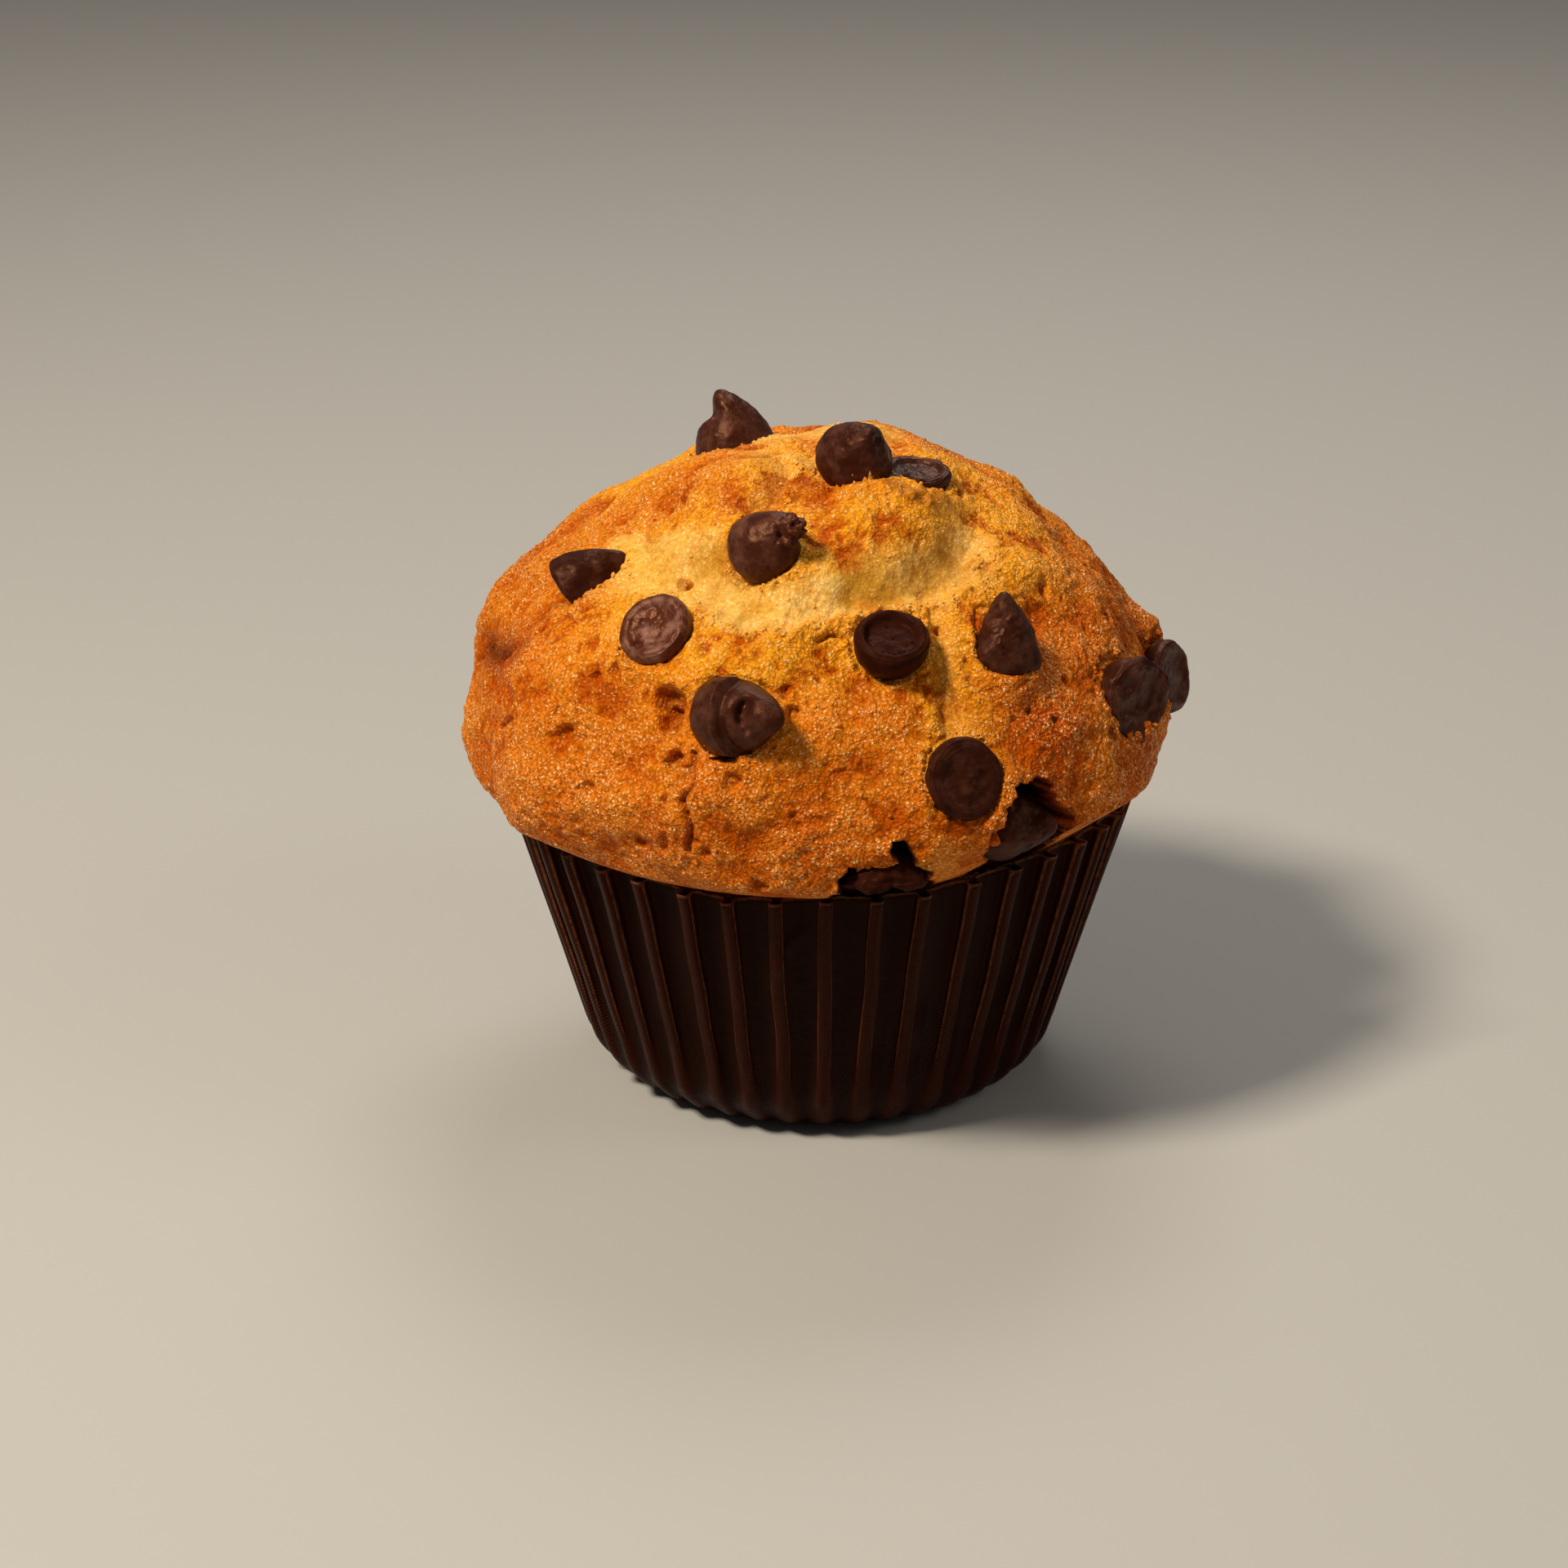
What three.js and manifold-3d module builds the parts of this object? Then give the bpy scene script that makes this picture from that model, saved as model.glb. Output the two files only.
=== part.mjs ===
// A chocolate-chip muffin in a fluted paper cup: the cup, the crumb baked in it with its
// mushroomed crown, and the chocolate chips that sit in the crust, each in a pocket of its own.
// Millimetres, +Z up. The origin is the centre of the cup's flat base, on the table, and the
// side of the crown with the most chips faces -Y.
import * as THREE from "three";
import { mergeVertices } from "three/addons/utils/BufferGeometryUtils.js";
import Module from "manifold-3d";

const GAP = 0.3; // clearance between neighbouring pieces
const GOLDEN_ANGLE = Math.PI * (3 - Math.sqrt(5));

// Paper cup: a 50 mm base and a 32 mm wall, the common size for a standard muffin tin.
const CUP = {
  flutes: 40,
  fluteTurn: 1, // degrees
  stepsPerFlute: 6,
  baseRadius: 25,
  rimRadius: 34.5,
  height: 31.8,
  cornerRadius: 5.4,
  cornerSteps: 2,
  wall: 0.4,
  rimFluteDepth: 1.8,
  footFluteDepth: 0.7,
  hub: 1, // radius of the middle of the base, which isn't folded
};

// The rim isn't quite level: how high it rises or falls, where (degrees to the right of the
// front) and how far to each side.
const RIM_LIFTS = [
  { rise: 1.15, at: 48, reach: 22 },
  { rise: -0.45, at: -20, reach: 16 },
];

// Crumb inside the cup: how far its foot is set in at the rounded corner.
const FOOT_INSET = 2;

// Crown: a dome over the rim, widest a little above it, then turning under to rest on the paper.
// Its relief fades out over the last stretch above the rim.
const CROWN = {
  radius: 38.7,
  centreHeight: 42,
  rise: 30,
  radialPower: 1.8,
  risePower: 1.5,
  underRadius: 33.5,
  underDrop: 9.6,
  fadeHeight: 3,
  domeRings: 17,
  underRings: 5,
  segments: 66,
};

// Where the underside draws in and bares the rim: over which degrees to the right of the front it
// begins and ends, and the line it draws in to.
const TUCK = { begins: [4, 34], ends: [100, 130], radius: 31.9, height: 33, slope: 1.3 };

// Swell of the crust: crossed waves, so that no two sides are alike.
const SWELL = { waves: 9, longest: 42, shortest: 13, height: 0.32 };

// Plates of crust that rose higher than the rest, or stayed lower: the centre as [azimuth,
// latitude] in degrees about the crown's centre, how far each reaches and how high it rises.
const LUMPS = [
  { at: [-150, 14], reach: 15, rise: 0.9 },
  { at: [-46, 2], reach: 12, rise: 0.9 },
  { at: [-88, 4], reach: 15, rise: 0.7 },
  { at: [-84, 52], reach: 9, rise: 1.1 },
  { at: [-128, 60], reach: 9, rise: 1.0 },
  { at: [-20, 34], reach: 13, rise: 0.6 },
  { at: [40, 12], reach: 14, rise: 0.9 },
  { at: [95, 8], reach: 15, rise: 0.9 },
  { at: [150, 20], reach: 14, rise: 0.8 },
  { at: [75, 48], reach: 10, rise: 1.0 },
  { at: [176, 10], reach: 6.5, rise: 1.5 },
  { at: [-178, -6], reach: 9, rise: -1.5 },
  { at: [157, 46], reach: 12, rise: -1.0 },
  { at: [38, 57], reach: 8, rise: 1.2 },
  { at: [88, 68], reach: 8, rise: -0.6 },
  { at: [16, 36], reach: 12, rise: -0.8 },
  { at: [-10, -18], reach: 7, rise: -1.1 },
  { at: [-4, -5], reach: 9, rise: -1.1 },
  { at: [0, 4], reach: 6, rise: -0.5 },
];

// Splits where the crust tore as it rose: the route in the same [azimuth, latitude], with the
// split's half width and its depth.
const SPLITS = [
  { width: 3.6, depth: 1.9, route: [[-146, 33], [-118, 38], [-97, 35], [-78, 36], [-62, 41], [-26, 52]] },
  { width: 2.4, depth: 1.7, route: [[-60, 40], [-64, 31], [-66, 22], [-67, 12]] },
  { width: 2.6, depth: 1.5, route: [[-120, 80], [-104, 70], [-103, 60], [-112, 54]] },
  { width: 1.2, depth: 1.1, route: [[-110, 10], [-109, 3], [-110, -4]] },
  { width: 2.8, depth: 1.6, route: [[150, 44], [122, 38], [98, 41], [70, 35], [44, 40], [20, 46]] },
  { width: 2.2, depth: 1.4, route: [[98, 40], [106, 26], [102, 12]] },
];

// Chocolate chips. middle is [azimuth in degrees, distance from the axis, height] of a chip's
// mid height, tip the [azimuth, elevation] in degrees that its tip points to, size its base's
// diameter, height its length to the tip, bend how far the tip leans over, and slim how much its
// sides are drawn in.
const CHIP = { middle: 0.45, segments: 12 };
const CHIP_PROFILE = [[0, 0], [0.84, 0], [1, 0.22], [0.9, 0.62], [0.62, 1.04], [0.3, 1.4], [0, 1.56]];
const CHIPS = [
  { middle: [144, 12.1, 70.9], tip: [160, 80], size: 9.2, height: 7.0, bend: -0.7, slim: 0.1 },
  { middle: [-69, 11.2, 73.0], tip: [-68, 44], size: 8.4, height: 6.6, bend: 0, slim: -0.1 },
  { middle: [-32.7, 12.0, 67.4], tip: [91, -82], size: 7.2, height: 5.6, bend: 0, slim: 0 },
  { middle: [-103, 21.6, 66.4], tip: [-45, 38], size: 7.9, height: 7.0, bend: 0.5, slim: 0 },
  { middle: [-153.5, 26.9, 59.9], tip: [2, 38], size: 7.4, height: 6.8, bend: 0.5, slim: 0.1 },
  { middle: [-122.9, 29.4, 57.1], tip: [53.4, -43.7], size: 7.7, height: 6.4, bend: 0, slim: 0 },
  { middle: [-76, 29.2, 56.9], tip: [97, -64], size: 7.8, height: 5.9, bend: 0, slim: 0 },
  { middle: [-53, 31.6, 57.6], tip: [107, 83], size: 7.2, height: 8.0, bend: -0.3, slim: 0.08 },
  { middle: [-101.8, 36.3, 52.8], tip: [-46, 18], size: 8.2, height: 9.4, bend: 0.3, slim: 0 },
  { middle: [-29.4, 36.1, 48.6], tip: [129, -7], size: 8.8, height: 6.8, bend: 0, slim: 0 },
  { middle: [-4.4, 35.8, 45.1], tip: [150, -15], size: 7.8, height: 7.0, bend: 0, slim: 0 },
  { middle: [-68.2, 36.8, 45.5], tip: [117, -22], size: 8.3, height: 6.2, bend: 0, slim: 0 },
  { middle: [-57, 36.8, 39.4], tip: [-13, 3], size: 7.8, height: 7.6, bend: 0, slim: 0 },
  { middle: [-79.4, 35.3, 36.5], tip: [91, 78], size: 8.8, height: 4.4, bend: 0, slim: 0 },
  { middle: [40, 36.4, 48.6], tip: [150, 55], size: 9.0, height: 7.2, bend: 0.8, slim: 0 },
  { middle: [66, 30.6, 54.2], tip: [-110, -42], size: 8.6, height: 6.4, bend: 0, slim: 0 },
  { middle: [95, 27.4, 60.6], tip: [40, 42], size: 8.8, height: 7.2, bend: 0.9, slim: 0 },
  { middle: [124, 31.2, 55.2], tip: [-54, -38], size: 8.2, height: 6.4, bend: 0, slim: 0 },
  { middle: [146, 37.6, 46.4], tip: [100, 40], size: 9.2, height: 7.2, bend: -0.7, slim: 0 },
  { middle: [22, 38.0, 40.8], tip: [60, 60], size: 8.4, height: 7.0, bend: 0.6, slim: 0 },
  { middle: [84, 37.4, 45.6], tip: [-96, -10], size: 9.0, height: 6.6, bend: 0, slim: 0 },
  { middle: [114, 39.2, 42.0], tip: [128, 52], size: 8.0, height: 6.6, bend: 0.5, slim: 0 },
];

const CRUMB_COLOUR = 0xd98a2e;
const PAPER_COLOUR = 0x3f1d12;
const CHOCOLATE_COLOUR = 0x3d231b;

const wasm = await Module();
wasm.setup();

// A closed three.js geometry as a solid: only positions, with shared vertices merged.
function solidOf(geometry) {
  const bare = geometry.index ? geometry.toNonIndexed() : geometry.clone();
  bare.deleteAttribute("normal");
  bare.deleteAttribute("uv");
  const merged = mergeVertices(bare, 1e-3);
  return new wasm.Manifold(
    new wasm.Mesh({
      numProp: 3,
      vertProperties: merged.attributes.position.array,
      triVerts: new Uint32Array(merged.index.array),
    }),
  );
}

function geometryOf(solid) {
  const mesh = solid.getMesh();
  return new THREE.BufferGeometry()
    .setAttribute("position", new THREE.BufferAttribute(mesh.vertProperties, 3))
    .setIndex(new THREE.BufferAttribute(mesh.triVerts, 1));
}

// Turns a profile of [radius, height] about +Z.
function turned(profile, segments) {
  const points = profile.map(([r, z]) => new THREE.Vector2(r, z));
  return new THREE.LatheGeometry(points, segments).rotateX(Math.PI / 2);
}

// Moves every vertex of a geometry by a function of its place.
function reshaped(geometry, move) {
  const place = geometry.attributes.position;
  const p = new THREE.Vector3();
  for (let i = 0; i < place.count; i++) {
    move(p.fromBufferAttribute(place, i));
    place.setXYZ(i, p.x, p.y, p.z);
  }
  return geometry;
}

// A unit vector at an azimuth and an elevation in degrees.
function direction(azimuth, elevation) {
  const a = THREE.MathUtils.degToRad(azimuth);
  const e = THREE.MathUtils.degToRad(elevation);
  return new THREE.Vector3(Math.cos(a) * Math.cos(e), Math.sin(a) * Math.cos(e), Math.sin(e));
}

// ---- Paper cup ----

// The wall's outer radius at a height, with the rounded corner at its foot.
function cupRadius(z) {
  const { baseRadius, rimRadius, height, cornerRadius } = CUP;
  const taper = baseRadius + ((rimRadius - baseRadius) * z) / height;
  const below = Math.max(0, 1 - z / cornerRadius);
  return taper - cornerRadius * (1 - Math.sqrt(1 - below * below));
}

// Degrees to the right of the front, -180 to 180.
function frontTurn(p) {
  return THREE.MathUtils.euclideanModulo(THREE.MathUtils.radToDeg(Math.atan2(p.y, p.x)) + 270, 360) - 180;
}

function rimLift(turn) {
  return RIM_LIFTS.reduce((lift, { rise, at, reach }) => lift + rise * Math.exp(-(((turn - at) / reach) ** 2)), 0);
}

function fluteDepth(z) {
  return THREE.MathUtils.mapLinear(z, 0, CUP.height, CUP.footFluteDepth, CUP.rimFluteDepth);
}

// Profile of one face of the cup, set in from the outside by the paper's thickness.
function cupFace(inset) {
  const face = [[0, inset]];
  for (let i = 0; i < CUP.cornerSteps; i++) {
    const z = CUP.cornerRadius * (1 - Math.cos(((i / CUP.cornerSteps) * Math.PI) / 2));
    face.push([cupRadius(z) - inset * Math.SQRT1_2, z + inset * (1 - i / CUP.cornerSteps)]);
  }
  face.push([cupRadius(CUP.cornerRadius) - inset, CUP.cornerRadius]);
  face.push([CUP.rimRadius - inset, CUP.height]);
  return face;
}

function paperCup() {
  const profile = [...cupFace(0), ...cupFace(CUP.wall).reverse()];
  const geometry = turned(profile, CUP.flutes * CUP.stepsPerFlute);
  return reshaped(geometry, (p) => {
    const r = Math.hypot(p.x, p.y);
    if (r < CUP.hub) return;
    const azimuth = Math.atan2(p.y, p.x) - THREE.MathUtils.degToRad(CUP.fluteTurn);
    const fold = 0.5 - 0.5 * Math.cos(CUP.flutes * azimuth);
    const scale = (r - fold * fluteDepth(p.z)) / r;
    p.x *= scale;
    p.y *= scale;
    p.z += rimLift(frontTurn(p)) * THREE.MathUtils.smoothstep(p.z, CUP.height / 2, CUP.height);
  });
}

// ---- Crumb ----

// How much the crust stands out (or in, below zero) in a direction from the crown's centre.
function crustRelief(towards) {
  const { waves, longest, shortest, height } = SWELL;
  let relief = 0;
  for (let k = 0; k < waves; k++) {
    const share = k / (waves - 1);
    const rise = 1 - (2 * k + 1) / waves;
    const flat = Math.sqrt(1 - rise * rise);
    const along = new THREE.Vector3(
      flat * Math.cos(k * GOLDEN_ANGLE),
      flat * Math.sin(k * GOLDEN_ANGLE),
      rise,
    );
    const length = longest * (shortest / longest) ** share;
    const place = along.dot(towards) * CROWN.radius;
    relief += height * Math.sin((2 * Math.PI * place) / length + k);
  }
  for (const lump of LUMPS) {
    const away = towards.angleTo(direction(...lump.at)) * CROWN.radius;
    relief += lump.rise * Math.exp(-((away / lump.reach) ** 2));
  }
  for (const split of SPLITS) {
    const away = distanceToRoute(towards, split.route);
    relief -= split.depth * Math.exp(-((away / split.width) ** 2));
  }
  return relief;
}

// Distance in millimetres over the crown from a direction to the nearest stretch of a route.
function distanceToRoute(towards, route) {
  const stations = route.map(([azimuth, latitude]) => direction(azimuth, latitude));
  const nearest = new THREE.Vector3();
  let least = Infinity;
  for (let i = 0; i + 1 < stations.length; i++) {
    new THREE.Line3(stations[i], stations[i + 1]).closestPointToPoint(towards, true, nearest);
    least = Math.min(least, nearest.distanceTo(towards));
  }
  return least * CROWN.radius;
}

// The crumb's profile: up inside the cup, out over the rim, round the widest ring, to the apex.
function crumbProfile() {
  const { radius, centreHeight, rise, radialPower, risePower } = CROWN;
  const { underRadius, underDrop, domeRings, underRings } = CROWN;
  const inside = (z) => cupRadius(z) - fluteDepth(z) - CUP.wall - GAP;
  const foot = CUP.wall + GAP;
  const profile = [[0, foot], [inside(foot) - FOOT_INSET, foot]];
  profile.push([inside(CUP.cornerRadius), CUP.cornerRadius]);
  profile.push([inside(CUP.height), CUP.height + GAP]);
  for (let i = 0; i < underRings; i++) {
    const t = ((i / underRings) * Math.PI) / 2;
    profile.push([
      underRadius + (radius - underRadius) * Math.sin(t),
      centreHeight - underDrop * Math.cos(t),
    ]);
  }
  for (let i = 0; i <= domeRings; i++) {
    const t = ((i / domeRings) * Math.PI) / 2;
    profile.push([
      i < domeRings ? radius * Math.cos(t) ** (2 / radialPower) : 0,
      centreHeight + rise * Math.sin(t) ** (2 / risePower),
    ]);
  }
  return profile;
}

function tucked(turn) {
  return THREE.MathUtils.smoothstep(turn, ...TUCK.begins) * (1 - THREE.MathUtils.smoothstep(turn, ...TUCK.ends));
}

function crumb() {
  const centre = new THREE.Vector3(0, 0, CROWN.centreHeight);
  const fadeLow = CROWN.centreHeight - CROWN.underDrop;
  const fadeHigh = fadeLow + CROWN.fadeHeight;
  return reshaped(turned(crumbProfile(), CROWN.segments), (p) => {
    const shown = THREE.MathUtils.smoothstep(p.z, fadeLow, fadeHigh);
    if (shown > 0) {
      const towards = p.clone().sub(centre).normalize();
      p.addScaledVector(towards, shown * crustRelief(towards));
    }
    if (p.z < CUP.height) return;
    const r = Math.hypot(p.x, p.y);
    const limit = TUCK.radius + TUCK.slope * (p.z - TUCK.height);
    const scale = 1 - (Math.max(0, r - limit) / r) * tucked(frontTurn(p));
    p.x *= scale;
    p.y *= scale;
  });
}

// ---- Chocolate chips ----

// A chip's own geometry, tip up, about its mid height; grown by a margin it cuts its pocket.
function chipGeometry({ size, height, bend, slim }, margin = 0) {
  const radius = size / 2;
  const tall = CHIP_PROFILE.at(-1)[1];
  const profile = CHIP_PROFILE.map(([r, z]) => [r * radius * (1 - slim * Math.sin((Math.PI * z) / tall)), (z / tall) * height]);
  const geometry = reshaped(turned(profile, CHIP.segments), (p) => {
    p.x += bend * (p.z / height) ** 3;
    p.z -= CHIP.middle * height;
  });
  return geometry.scale(
    (radius + margin) / radius,
    (radius + margin) / radius,
    (height + 2 * margin) / height,
  );
}

function placeChip(object, { middle: [azimuth, distance, height], tip }) {
  const a = THREE.MathUtils.degToRad(azimuth);
  object.position.set(distance * Math.cos(a), distance * Math.sin(a), height);
  object.quaternion.setFromUnitVectors(new THREE.Vector3(0, 0, 1), direction(...tip));
  object.updateMatrix();
  return object;
}

// ---- Assembly ----

function named(name, geometry, material) {
  const mesh = new THREE.Mesh(geometry, material);
  mesh.name = name;
  return mesh;
}

const paper = new THREE.MeshStandardMaterial({ color: PAPER_COLOUR, roughness: 0.45, metalness: 0 });
const sponge = new THREE.MeshStandardMaterial({ color: CRUMB_COLOUR, roughness: 0.6, metalness: 0 });
const chocolate = new THREE.MeshStandardMaterial({ color: CHOCOLATE_COLOUR, roughness: 0.4, metalness: 0 });

const muffin = new THREE.Group();
muffin.add(named("paper_cup", paperCup(), paper));

let crumbSolid = solidOf(crumb());
CHIPS.forEach((chip, i) => {
  const name = `chip_${String(i + 1).padStart(2, "0")}`;
  muffin.add(placeChip(named(name, chipGeometry(chip), chocolate), chip));
  const pocket = placeChip(new THREE.Mesh(chipGeometry(chip, GAP)), chip);
  crumbSolid = crumbSolid.subtract(solidOf(pocket.geometry.applyMatrix4(pocket.matrix)));
});
muffin.add(named("crumb", geometryOf(crumbSolid), sponge));

export default muffin;
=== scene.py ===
# A chocolate chip muffin in its pleated paper cup.
# Lengths are in millimetres until a mesh is finished, and angles are in degrees.
from math import cos, pi, radians, sin, sqrt

import bmesh
import bpy
import numpy as np
from mathutils import Matrix, Vector


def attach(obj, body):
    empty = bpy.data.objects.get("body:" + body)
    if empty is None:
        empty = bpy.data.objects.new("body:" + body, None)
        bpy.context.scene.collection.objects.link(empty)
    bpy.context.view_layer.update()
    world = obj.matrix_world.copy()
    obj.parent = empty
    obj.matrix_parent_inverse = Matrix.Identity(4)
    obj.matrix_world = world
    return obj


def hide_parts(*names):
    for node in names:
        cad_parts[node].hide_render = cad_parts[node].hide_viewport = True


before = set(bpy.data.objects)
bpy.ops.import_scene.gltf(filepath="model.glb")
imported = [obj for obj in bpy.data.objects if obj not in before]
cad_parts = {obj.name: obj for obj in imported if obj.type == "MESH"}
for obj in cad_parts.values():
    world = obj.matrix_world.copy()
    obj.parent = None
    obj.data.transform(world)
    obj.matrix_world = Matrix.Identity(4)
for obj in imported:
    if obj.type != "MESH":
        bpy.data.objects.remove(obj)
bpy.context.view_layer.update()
MM = 0.001


# ---- Camera ----
# A short telephoto on a stand in front of the muffin, raised a little and turned down on it.
CAMERA_PLACE = (0, -382, 182)
CAMERA_DOWN = 21.5
CAMERA_LEFT = 0.6
LENS = 85
SENSOR_WIDTH = 36
CAMERA_SEES = (0.02, 20)

camera = bpy.data.objects.new("camera", bpy.data.cameras.new("camera"))
camera.data.lens = LENS
camera.data.sensor_width = SENSOR_WIDTH
camera.data.clip_start, camera.data.clip_end = CAMERA_SEES
camera.location = Vector(CAMERA_PLACE) * MM
camera.rotation_euler = (radians(90 - CAMERA_DOWN), 0, radians(CAMERA_LEFT))
bpy.context.collection.objects.link(camera)
bpy.context.scene.camera = camera


# ---- Floor ----
# A pale matt table top, far wider than the view, so that it has no edge in any picture.
FLOOR_COLOUR = "#b8b5af"
FLOOR_HALF_WIDTH = 4000


def linear(colour):
    """The linear colour of an sRGB hex value."""
    parts = [int(colour[i:i + 2], 16) / 255 for i in (1, 3, 5)]
    return [c / 12.92 if c <= 0.04045 else ((c + 0.055) / 1.055) ** 2.4 for c in parts] + [1]


def add(material, kind, inputs, **settings):
    """Adds a node with its settings. An input is a value or the output of another node."""
    node = material.node_tree.nodes.new(kind)
    for name, value in settings.items():
        setattr(node, name, value)
    for socket, value in inputs.items():
        if isinstance(value, bpy.types.NodeSocket):
            material.node_tree.links.new(value, node.inputs[socket])
        else:
            node.inputs[socket].default_value = value
    return node


def new_material(name):
    """An empty node material and its output node."""
    material = bpy.data.materials.new(name)
    material.use_nodes = True
    material.node_tree.nodes.clear()
    return material, material.node_tree.nodes.new("ShaderNodeOutputMaterial")


def finish_piece(name, bm, material):
    """Turns a shape in millimetres into a smooth-shaded object with its place in its mesh."""
    mesh = bpy.data.meshes.new(name)
    bmesh.ops.scale(bm, vec=(MM, MM, MM), verts=bm.verts)
    bm.to_mesh(mesh)
    bm.free()
    mesh.shade_smooth()
    mesh.materials.append(material)
    piece = bpy.data.objects.new(name, mesh)
    bpy.context.collection.objects.link(piece)
    return piece


floor_paint, output = new_material("matt_table_paint")
shader = add(floor_paint, "ShaderNodeBsdfPrincipled", {"Base Color": linear(FLOOR_COLOUR), "Roughness": 0.7})
floor_paint.node_tree.links.new(shader.outputs[0], output.inputs[0])
bm = bmesh.new()
bmesh.ops.create_grid(bm, x_segments=1, y_segments=1, size=FLOOR_HALF_WIDTH)
finish_piece("floor", bm, floor_paint)


# ---- Lights ----
# Three soft boxes as in a food studio: the key from the front left and above, a weaker one
# from the right, and one behind the muffin that draws its upper edge. The room adds a dim fill.
SOFT_BOXES = {
    "key_light": {"place": (-380, -290, 630), "width": 150, "watts": 6.3, "colour": "#fff3e0"},
    "side_light": {"place": (520, -160, 440), "width": 260, "watts": 0.6, "colour": "#fffaf2"},
    "back_light": {"place": (60, 380, 560), "width": 260, "watts": 1.2, "colour": "#fffaf4"},
}
LIGHTS_AIM = (0, 0, 45)
ROOM_COLOUR = "#f2f2f2"
ROOM_STRENGTH = 0.1

for name, box in SOFT_BOXES.items():
    light = bpy.data.objects.new(name, bpy.data.lights.new(name, "AREA"))
    light.data.size = box["width"] * MM
    light.data.energy = box["watts"]
    light.data.color = linear(box["colour"])[:3]
    light.location = Vector(box["place"]) * MM
    light.rotation_euler = (Vector(LIGHTS_AIM) - Vector(box["place"])).to_track_quat("-Z", "Y").to_euler()
    bpy.context.collection.objects.link(light)
room = bpy.data.worlds.new("room")
room.use_nodes = True
room.node_tree.nodes["Background"].inputs[0].default_value = linear(ROOM_COLOUR)
room.node_tree.nodes["Background"].inputs[1].default_value = ROOM_STRENGTH
bpy.context.scene.world = room
bpy.context.scene.view_settings.view_transform = "Standard"


# ---- Paper cup ----
# A round of brown greaseproof paper, pressed in a heated die into a flat floor and 40 flutes. The
# flutes are narrow rounded loops with wide valleys between them. They fade out towards the
# foot, where the paper that is too much for the smaller round is crushed into fine chevrons.
FLUTES = 40
FLUTE_TURN = -3.5
STEPS_PER_FLUTE = 18
CUP_BASE_RADIUS = 25
CUP_RIM_RADIUS = 34.5
CUP_HEIGHT = 31.8
CUP_CORNER = 5.4
RIM_FLUTE_DEPTH = 1.9
FOOT_FLUTE_DEPTH = 0.6
PAPER_THICKNESS = 0.14
PAPER_COLOUR = "#0e0301"
# The colour of the painted glow on the ridges, also used for the lighter strokes of the crinkles.
PAPER_GLOW_AND_CRINKLE_COLOUR = "#48190a"
PAPER_SHEEN = "#b8743c"
# The colour of the painted highlight lines along the ridges' edges and the rim.
PAPER_HIGHLIGHT_COLOUR = "#7d4f36"
CHEVRON_SPACING = 0.4
FIBRE = 0.9
BLOTCH = 5

# The rows of the spun shape, where over the floor the flutes begin and are full, and over which
# part of the wall's height they turn from soft waves to loops.
FLOOR_RADII = [0.0, 4, 8, 12, 15, 17.5]
CORNER_ROWS = 10
WALL_ROWS = 38
FLUTES_BEGIN = (17.5, 23)
LOOPS_BEGIN = (0.02, 0.5)

# Half a flute at the rim, from the top of its ridge to the middle of the valley: how far to the
# side (the valley's part in shares of what is left of the pitch), and how deep in shares of the depth.
LOOP_SIDE = [0, 0.34, 0.6, 0.73, 0.7, 0.6, 0.66]
VALLEY_SIDE = [0.2, 0.56, 1]
LOOP_DEEP = [0, 0.03, 0.13, 0.32, 0.52, 0.7, 0.85, 0.94, 0.985, 1]
# How far the front ridges lean from an even spacing, in degrees, from the left to the right.
RIDGE_LEANS = {-6: 0.9, -5: 1.6, -4: 1.2, -3: 1.7, -2: 0.6, -1: 0.3, 2: -0.5, 3: 0.5, 4: 0.4, 5: -0.3}
# How far the rim rises above level, where, in degrees to the right of the front, and over what reach.
RIM_LIFTS = [(1.15, 48, 22), (-0.45, -20, 16)]
RIM_UNEVEN = 0.16
SOFT_DENTS = 0.12
# One valley at the front was pinched: the fold's route over the wall (across, height), and its form.
CREASE = [(-4.3, 23.2), (-3.7, 25.0), (-2.1, 27.6)]
CREASE_RISE = 0.5
CREASE_WIDTH = 0.4


def smoothstep(x, low, high):
    """Goes smoothly from 0 at low to 1 at high."""
    t = np.clip((x - low) / (high - low), 0, 1)
    return t * t * (3 - 2 * t)


def cup_radius(z):
    """The outer radius of the cup over its flutes' ridges at a height."""
    corner = 1 - np.sqrt(1 - np.maximum(0, 1 - z / CUP_CORNER) ** 2)
    return CUP_BASE_RADIUS + (CUP_RIM_RADIUS - CUP_BASE_RADIUS) * z / CUP_HEIGHT - CUP_CORNER * corner


def flute_depth(z):
    """How deep the flutes are at a height."""
    return FOOT_FLUTE_DEPTH + (RIM_FLUTE_DEPTH - FOOT_FLUTE_DEPTH) * np.clip(z / CUP_HEIGHT, 0, 1)


def rim_lift(front_turn):
    """How much higher than level the rim stands, by degrees to the right of the front."""
    return sum(rise * np.exp(-((front_turn - place) / reach) ** 2) for rise, place, reach in RIM_LIFTS)


def leg_gap(x, z, x0, z0, x1, z1):
    """How far points lie from a straight leg between two ends."""
    t = np.clip(((x - x0) * (x1 - x0) + (z - z0) * (z1 - z0)) / ((x1 - x0) ** 2 + (z1 - z0) ** 2), 0, 1)
    return np.hypot(x - x0 - t * (x1 - x0), z - z0 - t * (z1 - z0))


def scatter(cell):
    """Three values of 0 to 1 for each cell of a grid, the same in every run."""
    key = cell @ np.array((374761393, 668265263, 1274126177))
    key = (key ^ (key >> 13)) * 1103515245
    return np.stack([(key >> bits & 1023) / 1023 for bits in (12, 22, 32)], axis=1)


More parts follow.
